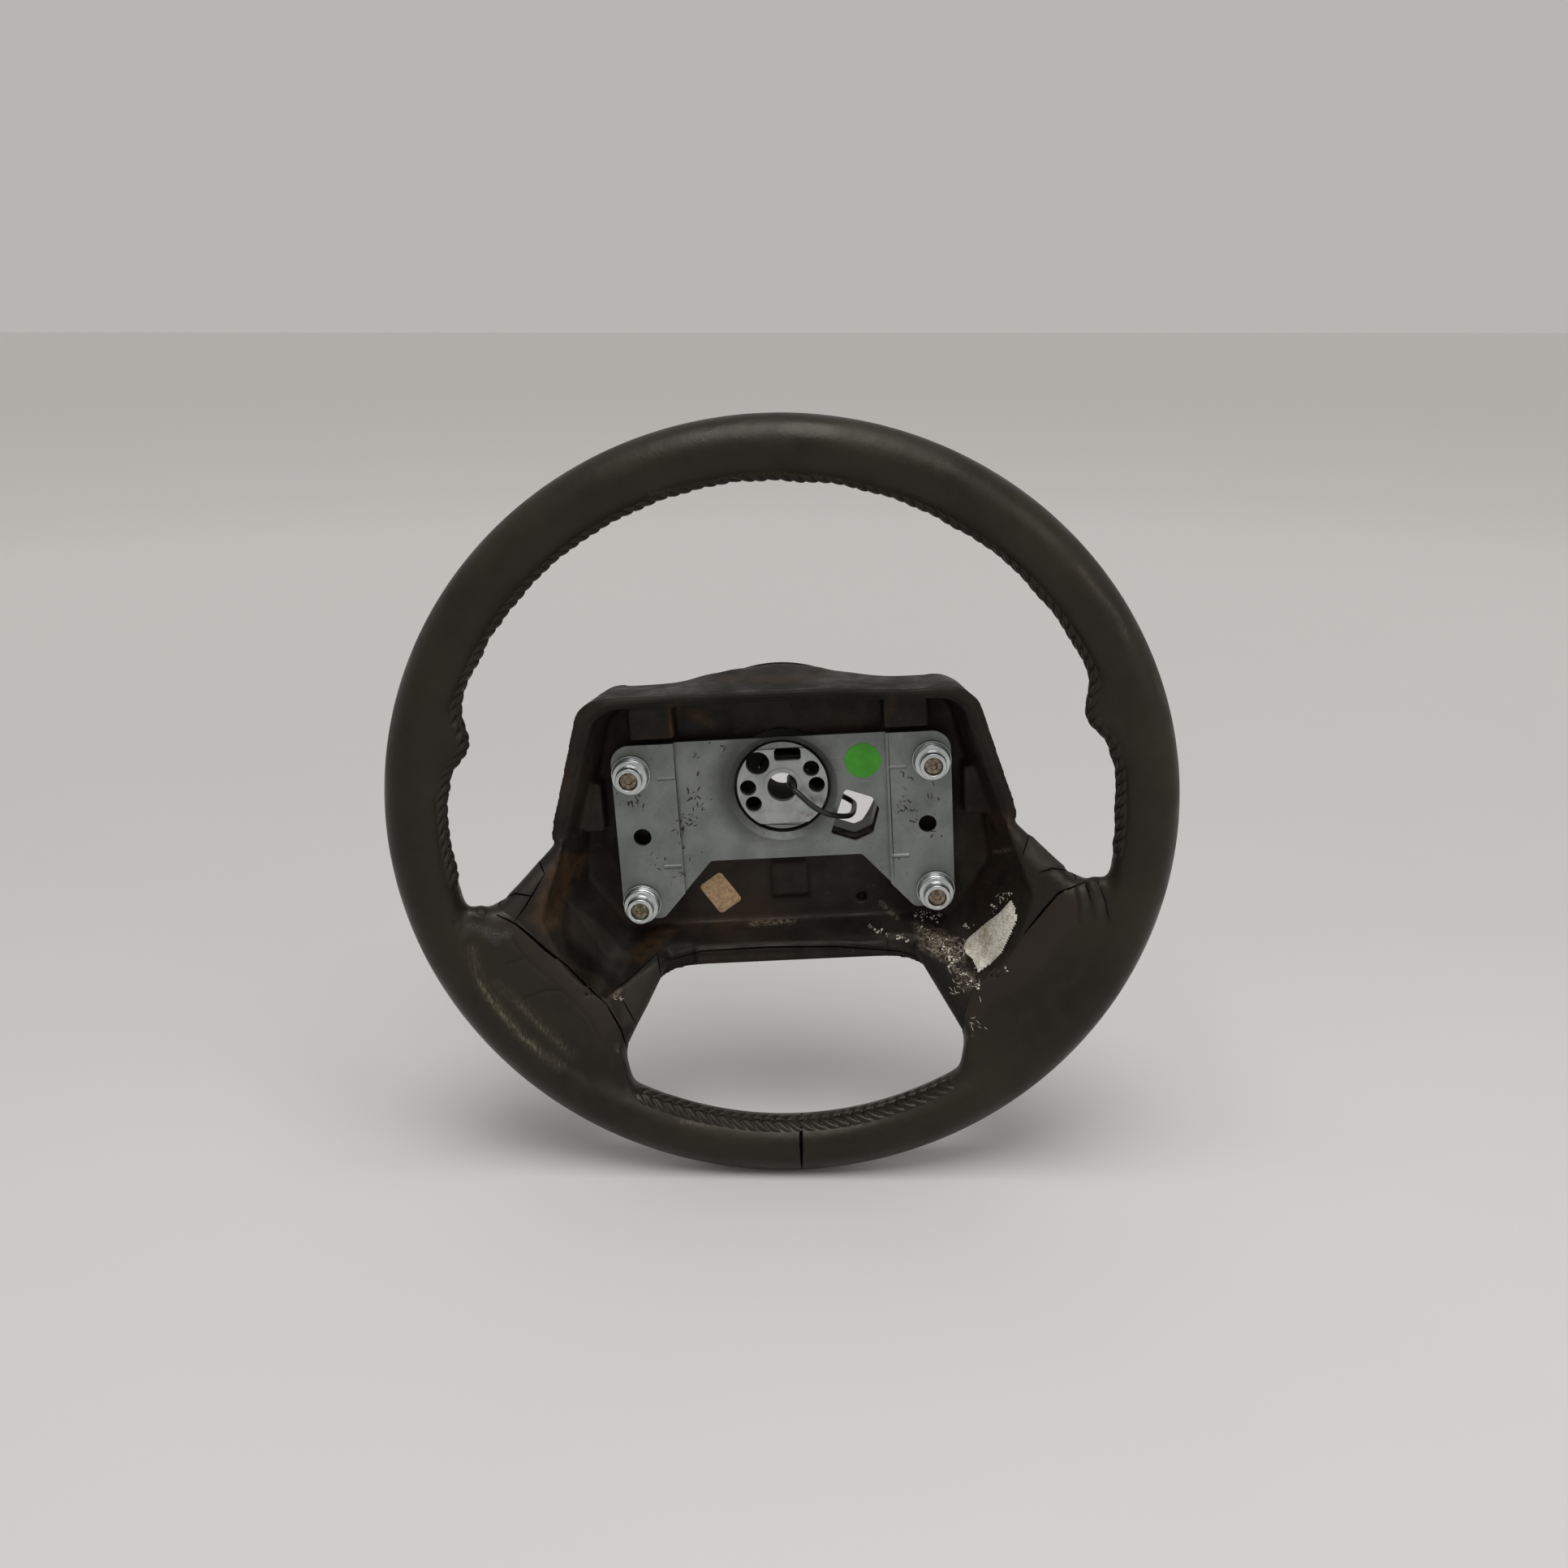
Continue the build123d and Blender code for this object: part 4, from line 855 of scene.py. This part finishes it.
# Painted shade along the creases of the leather, which are also pressed in.
PAINTED_CREASE_SHADE = ((line_mask, ((625, 1187), (650, 1179)), 4, 0.8),
           (line_mask, ((645, 1230), (670, 1221), (692, 1220)), 4, 0.9),
           (line_mask, ((627, 1150), (647, 1180), (690, 1217), (727, 1255), (740, 1282)), 4, 0.55),
           (line_mask, ((1338, 1090), (1345, 1112), (1347, 1130)), 4, 0.9),
           (line_mask, ((1352, 1085), (1362, 1110), (1366, 1134)), 4, 0.9),
           (line_mask, ((1324, 1093), (1329, 1115), (1330, 1134)), 4, 0.8),
           (line_mask, ((560, 1136), (561, 1138)), 4, 1.0))
BROWN_BANDS = ((area_mask, ((612, 1128), (635, 1138), (700, 1192), (748, 1238), (760, 1260), (740, 1283), (727, 1255),
                            (690, 1217), (647, 1180), (627, 1150)), 4, 1.0),
               (area_mask, ((1337, 1090), (1305, 1100), (1285, 1122), (1255, 1160), (1205, 1205), (1190, 1250),
                            (1200, 1270), (1220, 1235), (1255, 1217), (1285, 1192), (1300, 1167), (1330, 1132)),
                5, 1.0))
# Rubbed wear on the rim: the narrow streaks are worn leather, and the wide faint lines along them are a painted sheen.
RUBBED_AND_SHEEN = ((line_mask, ((590, 1208), (601, 1228), (619, 1251), (641, 1276), (666, 1297)), 5, 0.85),
          (line_mask, ((582, 1170), (586, 1190), (593, 1213), (612, 1240), (641, 1275), (670, 1300), (690, 1314)),
           12, 0.28),
          (line_mask, ((636, 1234), (652, 1251), (674, 1273), (696, 1291)), 5, 0.6),
          (line_mask, ((610, 1212), (633, 1231), (674, 1272), (705, 1300)), 12, 0.2),
          (line_mask, ((581, 1168), (585, 1186)), 4, 0.5),
          (line_mask, ((1330, 700), (1373, 753), (1390, 785)), 6, 0.22),
          (line_mask, ((1423, 833), (1435, 867)), 5, 0.2),
          (line_mask, ((840, 1382), (895, 1389), (950, 1392), (1000, 1391), (1060, 1385)), 4, 0.5),
          (line_mask, ((800, 610), (842, 600), (913, 586), (957, 583), (1010, 587), (1061, 597)), 3, 0.4))
SCUFFED = ((line_mask, ((580, 1140), (597, 1146), (615, 1153), (627, 1150)), 10, 1.0),
           (line_mask, ((597, 1150), (612, 1161)), 7, 0.8))
FLAP_RISE, CREASE_DEPTH = 0.9 * MM, 0.7 * MM
# The flaps are raised and also painted lighter, a painted highlight on their facets.
paint(leather, "painted_highlight", FLAPS, FLAP_RISE)
paint(leather, "dark", PAINTED_CREASE_SHADE, -CREASE_DEPTH)
paint(leather, "brown", BROWN_BANDS)
paint(leather, "rub_and_sheen", RUBBED_AND_SHEEN)
paint(leather, "scuff", SCUFFED)

STAINED = ((area_mask, ((680, 1050), (725, 1050), (715, 1085), (695, 1110), (690, 1140), (670, 1150), (650, 1130),
                        (665, 1100)), 6, 1.0),
           (area_mask, ((765, 1180), (815, 1140), (835, 1145), (790, 1187)), 6, 0.9),
           (area_mask, ((1205, 998), (1247, 998), (1247, 1024), (1225, 1030)), 6, 0.3),
           (line_mask, ((824, 870), (829, 906)), 5, 1.0), (line_mask, ((835, 872), (875, 888)), 12, 0.9),
           (line_mask, ((890, 836), (960, 838), (1010, 834)), 9, 0.7), (line_mask, ((700, 880), (690, 980)), 10, 0.5),
           (line_mask, ((760, 1125), (860, 1140), (960, 1125)), 18, 0.3),
           (line_mask, ((1090, 900), (1100, 860)), 10, 0.6))
DUSTY = ((area_mask, ((1128, 1138), (1160, 1148), (1188, 1163), (1187, 1187), (1160, 1182), (1133, 1166)), 5, 0.9),
         (area_mask, ((1165, 1185), (1200, 1200), (1207, 1228), (1182, 1214)), 5, 0.6),
         (line_mask, ((925, 1138), (978, 1135)), 5, 0.7), (line_mask, ((757, 1228), (763, 1220)), 5, 0.8),
         (line_mask, ((1195, 1262), (1215, 1258)), 4, 0.6), (line_mask, ((1226, 1050), (1247, 1046)), 4, 0.5),
         (line_mask, ((1085, 1112), (1105, 1130)), 5, 0.6))
HUMP_TOP = ((740, 858), (880, 836), (955, 814), (1045, 824), (1200, 832), (1215, 848), (1045, 845), (955, 841),
            (880, 849), (745, 872))
LIP_RIDGE = ((824, 1178), (863, 1166), (946, 1161), (1030, 1160), (1105, 1166), (1132, 1174))
POCKET_SLOPE = ((702, 1112), (732, 1132), (778, 1178), (766, 1206), (735, 1181), (707, 1153))
# Painted shade in the hollow by the left tuck line and along a line above it.
PAINTED_HOLLOW_SHADE = ((area_mask, ((693, 1138), (701, 1156), (735, 1186), (768, 1214), (758, 1222), (733, 1210), (698, 1178)),
           4, 0.9),
          (line_mask, ((707, 1050), (765, 1048)), 6, 0.7))
# Painted highlights: the tray's flaps, the top of the hump, the slope of the left pocket and the lip's ridge are
# painted paler, as where light falls on them.
PAINTED_HIGHLIGHTS = (*FLAPS, (area_mask, HUMP_TOP, 5, 0.6), (area_mask, POCKET_SLOPE, 3, 0.45), (line_mask, LIP_RIDGE, 3, 0.6))
paint(tray, "stain", STAINED)
paint(tray, "dust", DUSTY)
paint(tray, "painted_highlight", PAINTED_HIGHLIGHTS, FLAP_RISE)
paint(tray, "dark", PAINTED_HOLLOW_SHADE)
print("painted", len(FLAPS + PAINTED_CREASE_SHADE + BROWN_BANDS + RUBBED_AND_SHEEN + SCUFFED + STAINED + DUSTY + PAINTED_HOLLOW_SHADE), "marks")

# %% [markdown]
# Fine lines are narrower than the skin's mesh, so they are laid on it as thin black ribbons of painted shade: the slit
# where the leather is tucked in, the edges of its flaps, the creases of its gathers, the groove where its two ends meet
# at 6 o'clock, the groove between the lip's beads, and the step on the hub.

# %% Painted shade in slits and fine creases
RIBBON_TIP, RIBBON_BREAK = 0.12, 8 * MM


def seen(pixel, trees):
    """First point and normal of some surfaces on the line of sight through a pixel."""
    best = None
    for tree in trees:
        hit, normal, _, distance = tree.ray_cast(CAMERA_PLACE, sight_line(pixel))
        if hit is not None and (best is None or distance < best[2]):
            best = (hit, normal, distance)
    return best


def lay_ribbon(bm, points, half_width, lift, trees, step=2.0):
    """Narrow strip along a line of pixels, tapered at both ends."""
    path = []
    for start, end in zip(points, points[1:]):
        count = max(1, int(hypot(end[0] - start[0], end[1] - start[1]) / step))
        path += [(start[0] + (end[0] - start[0]) * i / count, start[1] + (end[1] - start[1]) * i / count)
                 for i in range(count)]
    path.append(points[-1])
    hits = [hit for hit in (seen(pixel, trees) for pixel in path) if hit is not None]
    before = None
    for number, (place, normal, _) in enumerate(hits):
        ahead = hits[min(number + 1, len(hits) - 1)][0] - hits[max(number - 1, 0)][0]
        side = normal.cross(ahead).normalized()
        width = half_width * max(RIBBON_TIP, sin(pi * number / max(1, len(hits) - 1))) ** 0.5
        pair = [bm.verts.new(place + normal * lift + side * width), bm.verts.new(place + normal * lift - side * width)]
        if before is not None and ahead.length < RIBBON_BREAK:
            bm.faces.new((before[0], before[1], pair[1], pair[0]))
        before = pair


def surface_of(mesh):
    """Tree for casting rays at a mesh."""
    bm = bmesh.new()
    bm.from_mesh(mesh)
    tree = BVHTree.FromBMesh(bm)
    bm.free()
    return tree


skins = (surface_of(leather.data), surface_of(tray.data))
hub_face = (surface_of(nodes["hub_boss"].data),)
SLITS = ((((612, 1127), (635, 1138), (652, 1152), (672, 1170), (700, 1192), (720, 1212), (747, 1237)), 0.75),
         (((624, 1105), (635, 1101), (655, 1104)), 0.4), (((671, 1077), (655, 1104), (645, 1120), (634, 1135)), 0.4),
         (((665, 1062), (671, 1077)), 0.4), (((810, 1175), (812, 1188), (814, 1202)), 0.35),
         (((810, 1175), (777, 1205), (757, 1220)), 0.45), (((766, 1230), (784, 1262)), 0.3),
         (((1337, 1087), (1305, 1100), (1287, 1120), (1262, 1150)), 0.6),
         (((1280, 1075), (1297, 1070), (1322, 1074)), 0.35),
         (((1268, 1028), (1260, 1055)), 0.3), (((1352, 1085), (1362, 1110), (1366, 1132)), 0.2),
         (((1338, 1090), (1345, 1112)), 0.2), (((988, 1358), (987, 1400), (988, 1440)), 0.9),
         (((747, 1237), (765, 1268), (772, 1290)), 0.5),
         (((826, 1183), (863, 1172), (946, 1167), (1030, 1166), (1108, 1172), (1132, 1179)), 0.45))
SLIT_LIFT, HUB_LINE_LIFT = 0.16 * MM, 0.05 * MM
HUB_LINE, HUB_LINE_HALF = ((940, 1016), (1004, 1015)), 0.22 * MM
slit_bm = bmesh.new()
for points, half_width in SLITS:
    lay_ribbon(slit_bm, points, half_width * MM, SLIT_LIFT, skins)
lay_ribbon(slit_bm, HUB_LINE, HUB_LINE_HALF, HUB_LINE_LIFT, hub_face)
slits = finished_piece(slit_bm, "slit_shade_ribbons", SLIT_SHADE, "wheel")
print("slits", len(SLITS), "faces", len(slits.data.polygons))

# %% [markdown]
# On the right spoke the skin of the moulding has torn and pale foam shows. The patch is a grid on its outline, domed
# and roughened. Crumbs and threads of foam lie round it: small balls pushed out of shape, and thin ribbons.

# %% Torn foam
TORN = ((1247, 1107), (1253, 1120), (1254, 1135), (1246, 1154), (1235, 1175), (1220, 1190), (1205, 1200), (1199, 1186),
        (1185, 1170), (1191, 1157), (1212, 1139), (1232, 1124))
TORN_CORNER, TORN_SIZE, TORN_EDGE = (1182, 1103), (75, 100), 9
GRID_STEP = 1.4
FOAM_DOME, FOAM_ROUGH, FOAM_SINK = 2.4, 0.5, 0.15
foam_bm = bmesh.new()
columns = int(TORN_SIZE[0] / GRID_STEP)
rows = int(TORN_SIZE[1] / GRID_STEP)
cells_at = {}
for column in range(columns):
    for row in range(rows):
        pixel = (TORN_CORNER[0] + column * GRID_STEP, TORN_CORNER[1] + row * GRID_STEP)
        place = numpy.array([pixel], float)
        if area_mask(place, TORN, 0.01)[0] > 0.5:
            found = seen(pixel, skins)
            if found is not None:
                edge = min(1.0, distance_to(place, (*TORN, TORN[0]))[0] / TORN_EDGE)
                rough = noise.fractal(found[0] * 420, 1.0, 2.1, 4)
                height = (FOAM_DOME * edge ** 0.6 + FOAM_ROUGH * rough * edge - FOAM_SINK) * MM
                cells_at[column, row] = foam_bm.verts.new(found[0] + found[1] * height)
for (column, row), corner in cells_at.items():
    ring = [cells_at.get(key) for key in ((column + 1, row), (column + 1, row + 1), (column, row + 1))]
    if None not in ring:
        foam_bm.faces.new((corner, ring[2], ring[1], ring[0]))

chance = Random(11)
CRUMB_LEAST, CRUMB_SPREAD = 0.16 * MM, 0.6 * MM
HEAPS = ((1133, 1128, 4, 22), (1142, 1124, 3, 12), (1151, 1131, 3, 18), (1159, 1127, 2.5, 8), (1073, 1142, 2, 12),
         (1082, 1147, 2.4, 16), (1093, 1152, 2, 9), (1108, 1155, 3, 18), (1119, 1158, 1.6, 7), (1138, 1147, 4, 10),
         (1150, 1160, 5, 14), (1162, 1160, 4, 16), (1168, 1170, 4, 34), (1177, 1181, 4, 30), (1172, 1190, 3, 14),
         (1186, 1199, 2.4, 10), (1197, 1209, 2.6, 13), (1206, 1218, 2, 8), (1226, 1119, 2.5, 9), (1236, 1111, 2.5, 10),
         (1245, 1102, 2, 7), (1192, 1142, 3, 8), (1238, 1192, 3, 5))
for x, y, spread, count in HEAPS:
    for _ in range(count):
        found = seen((chance.gauss(x, spread), chance.gauss(y, spread * 0.7)), skins)
        if found is None:
            continue
        size = CRUMB_LEAST + CRUMB_SPREAD * chance.random() ** 3
        turn = Matrix.Rotation(chance.uniform(0, pi), 4, found[1])
        ball = bmesh.ops.create_icosphere(foam_bm, subdivisions=1, radius=size)["verts"]
        stretch = (chance.uniform(0.7, 1.5), chance.uniform(0.6, 1.2), chance.uniform(0.6, 1.3))
        for vert in ball:
            bulge = 1 + 0.6 * noise.noise(vert.co / size * 1.3 + Vector((chance.random(), 0, size / MM)))
            shaped = turn @ Vector(vert.co[i] * stretch[i] * bulge for i in range(3))
            vert.co = shaped + found[0] + found[1] * size * 0.3
FIBRE_HALF, FIBRE_LIFT = 0.12 * MM, 0.3 * MM
FIBRE_ZONES = ((1140, 1150, 1190, 1185, 26), (1168, 1190, 1207, 1228, 18), (1190, 1254, 1214, 1266, 7),
               (1224, 1100, 1250, 1124, 8), (754, 1218, 766, 1230, 5))
for low_x, low_y, high_x, high_y, count in FIBRE_ZONES:
    for _ in range(count):
        x, y = chance.uniform(low_x, high_x), chance.uniform(low_y, high_y)
        heading, bend, reach = chance.gauss(0.6, 0.7), chance.uniform(-0.5, 0.5), chance.uniform(1.2, 3.2)
        points = [(x, y)]
        for _ in range(3):
            points.append((points[-1][0] + cos(heading) * reach, points[-1][1] + sin(heading) * reach))
            heading += bend
        lay_ribbon(foam_bm, points, FIBRE_HALF, FIBRE_LIFT, skins, 1.2)
foam = finished_piece(foam_bm, "torn_foam", FOAM, "wheel", smooth_angle=60)
print("foam faces", len(foam.data.polygons))

# %% [markdown]
# Pressed and turned steel has small radii on every edge, and those radii catch the light. Each metal node is
# copied, its flat triangles are joined, and the sharp edges get a narrow bevel. The plate's top edge is trimmed
# straight, as the photograph shows it.

# %% Eased metal pieces
FINE_MERGE, FINE_CUT = 0.005 * MM, 0.001 * MM


def eased(name, material, body, width, angle=32, smooth_angle=35, top=None):
    """Copy of a CAD node with a narrow bevel on its sharp edges, standing for that node."""
    bm = bmesh.new()
    bm.from_mesh(nodes[name].data)
    bmesh.ops.remove_doubles(bm, verts=bm.verts, dist=FINE_MERGE)
    if top is not None:
        bmesh.ops.bisect_plane(bm, geom=[*bm.verts, *bm.edges, *bm.faces], dist=FINE_CUT, plane_co=(0, 0, top),
                               plane_no=(0, 0, 1), clear_outer=True)
        bmesh.ops.holes_fill(bm, edges=[edge for edge in bm.edges if edge.is_boundary])
    bmesh.ops.dissolve_limit(bm, angle_limit=radians(1.0), verts=bm.verts, edges=bm.edges)
    sharp = [edge for edge in bm.edges if edge.is_manifold and edge.calc_face_angle() > radians(angle)]
    bmesh.ops.bevel(bm, geom=sharp, offset=width, offset_type="OFFSET", affect="EDGES", segments=2, profile=0.5,
                    material=-1, clamp_overlap=True)
    piece = finished_piece(bm, name + "_eased", material, body, name, smooth_angle=smooth_angle)
    return piece


PLATE_TOP = 27.2 * MM
eased("horn_plate", ZINC_PLATE, "plate", 0.35 * MM, 20, 14, PLATE_TOP)
eased("hub_boss", HUB_STEEL, "wheel", 0.3 * MM)
for place in PLACES:
    eased("corner_sleeve_" + place, BRIGHT_ZINC, "wheel", 0.35 * MM)
    eased("seat_washer_" + place, BRIGHT_ZINC, "wheel", 0.15 * MM)
    eased("corner_screw_" + place, RUSTY_SCREW, "wheel", 0.25 * MM)
print("eased metal pieces", 2 + 3 * len(PLACES))

# %% [markdown]
# Years of work inside the tray have chipped the zinc. Each chip is a flat dark fleck of six corners, longer than it is
# wide, and they lie in the groups that the photograph shows. A thin dark ribbon along both folds of the plate is
# painted shade at their steps.

# %% Chips in the zinc and painted shade along the folds
plate_face = (surface_of(nodes["horn_plate"].data),)
CHIP_LENGTHS, CHIP_WIDTHS, CHIP_CORNERS = (0.6, 2.3), (0.25, 0.65), 6
CHIP_FACING = -0.95
FOLD_HALF, CHIP_LIFT, FOLD_LIFT = 0.32 * MM, 0.04 * MM, 0.05 * MM
FOLDS = (((829, 917), (845, 1099)), ((1094, 904), (1102, 1084)))
CHIP_GROUPS = ((778, 990, 14, 12), (856, 985, 12, 10), (852, 1010, 10, 12), (845, 1040, 14, 8), (806, 1060, 14, 5),
               (832, 1020, 10, 5), (838, 1075, 6, 4), (852, 985, 30, 8), (930, 1060, 30, 4), (1112, 990, 12, 9),
               (1150, 980, 10, 5), (1128, 1010, 20, 7), (1145, 1030, 18, 5), (1165, 940, 10, 4), (890, 925, 14, 4),
               (858, 930, 6, 4), (1110, 960, 20, 5), (790, 950, 16, 5))
chip_and_fold_shade_bm = bmesh.new()
for x, y, spread, count in CHIP_GROUPS:
    heading = chance.uniform(0, pi)
    for _ in range(count):
        found = seen((chance.gauss(x, spread / 2), chance.gauss(y, spread / 2)), plate_face)
        if found is None or found[1].y > CHIP_FACING:
            continue
        angle = heading + chance.gauss(0, 0.7)
        long, wide = chance.uniform(*CHIP_LENGTHS) * MM, chance.uniform(*CHIP_WIDTHS) * MM
        ring = []
        for corner in range(CHIP_CORNERS):
            turn = corner * 2 * pi / CHIP_CORNERS
            ragged = chance.uniform(0.6, 1.1)
            flat = Vector((cos(turn) * long * ragged, 0, sin(turn) * wide * ragged))
            ring.append(chip_and_fold_shade_bm.verts.new(found[0] + Matrix.Rotation(angle, 3, "Y") @ flat - Vector((0, CHIP_LIFT, 0))))
        chip_and_fold_shade_bm.faces.new(ring)
# Painted shade: a thin dark ribbon along the step of each fold.
for points in FOLDS:
    lay_ribbon(chip_and_fold_shade_bm, points, FOLD_HALF, FOLD_LIFT, plate_face)
bmesh.ops.recalc_face_normals(chip_and_fold_shade_bm, faces=chip_and_fold_shade_bm.faces)
chips = finished_piece(chip_and_fold_shade_bm, "zinc_chips_and_fold_shade", CHIPS_AND_FOLD_SHADE, "plate")
print("chips", len(chips.data.polygons))

# %% [markdown]
# Four coil springs hold the horn plate out, and they get shorter when the horn is pressed. Each one is copied from
# its CAD node, with its doubled points merged, and gets a mesh of its own.

# %% Return springs
for place in PLACES:
    spring = "return_spring_" + place
    coil_bm = bmesh.new()
    coil_bm.from_mesh(nodes[spring].data)
    bmesh.ops.remove_doubles(coil_bm, verts=coil_bm.verts, dist=MERGE)
    coil = finished_piece(coil_bm, "return_coil_" + place, SPRING_WIRE, "wheel", spring, smooth_angle=60)
    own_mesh(coil)

# %% [markdown]
# What is left keeps its CAD mesh and only gets its finish: the bushes, the frame, the ring and core of the rim, the
# collar, the rivets, the slip ring with its carrier, the end of the lead and the two stickers.

# %% Finishes for the CAD nodes that stay
CAD_FINISHES = {"rim_core": POLYURETHANE, "rear_collar": INSULATOR, "spoke_frame": FRAME_STEEL, "rim_ring": FRAME_STEEL,
                "green_dot": GREEN_FILM, "paper_label": AGED_PAPER,
                "contact_rivets": BRASS, "slip_ring": BRASS, "slip_ring_carrier": INSULATOR, "lead_terminal": SHEATH}
for place in PLACES:
    CAD_FINISHES["plate_bush_" + place] = INSULATOR
for name, finish in CAD_FINISHES.items():
    nodes[name].data.materials.clear()
    nodes[name].data.materials.append(finish)
print("finished CAD nodes", len(CAD_FINISHES))

# %% [markdown]
# A pale floor under the rim, a large soft lamp above and in front, a weaker one from the right, and a pale
# world give the even light of the photograph. The floor's colour is painted light: paler far from the wheel, so that it
# meets the pale world.

# %% Floor, light and world
def make_floor():
    material, tree, shader = new_finish("pale_floor", Roughness=0.6, Specular_IOR_Level=0.25)
    place = object_place(tree)
    close = mix_colours(tree, cloud(tree, place, 2.5, 3), (0.56, 0.555, 0.54), (0.60, 0.595, 0.58))
    # Painted light: the floor is paler far from the wheel, where the lamps' light falls off.
    tree.links.new(mix_colours(tree, near(tree, (0, -300, -190), 2600, 500), (0.90, 0.89, 0.87), close),
                   shader.inputs["Base Color"])
    return material


FLOOR_HALF = 14.0
LEAN = atan2(-CAMERA_RIGHT.z, CAMERA_RIGHT.x)
floor_bm = bmesh.new()
bmesh.ops.create_grid(floor_bm, x_segments=2, y_segments=2, size=FLOOR_HALF,
                      matrix=Matrix.Rotation(LEAN, 4, "Y") @ Matrix.Translation((0, 0, -RIM_RADIUS - GRIP_RADIUS)))
floor_mesh = bpy.data.meshes.new("floor")
floor_bm.to_mesh(floor_mesh)
floor_bm.free()
floor_mesh.materials.append(make_floor())
floor = shown("floor", floor_mesh)


def soft_lamp(name, place, aim, size, power):
    """Square lamp that points at the wheel."""
    light = bpy.data.lights.new(name, "AREA")
    light.size = size
    light.energy = power
    lamp = shown(name, light)
    lamp.location = place
    lamp.rotation_euler = (Vector(aim) - Vector(place)).to_track_quat("-Z", "Y").to_euler()


soft_lamp("top_lamp", (0.15, -0.6, 1.6), (0, 0, 0), 1.3, 24)
soft_lamp("right_lamp", (1.4, -1.1, 0.7), (0, 0, 0), 1.0, 4)
world = bpy.data.worlds.new("pale_room")
bpy.context.scene.world = world
world.use_nodes = True
sky = world.node_tree.nodes["Background"]
sky.inputs["Color"].default_value = (0.86, 0.85, 0.82, 1)
sky.inputs["Strength"].default_value = 0.55
bpy.context.scene.view_settings.view_transform = "Standard"
print("stage set")
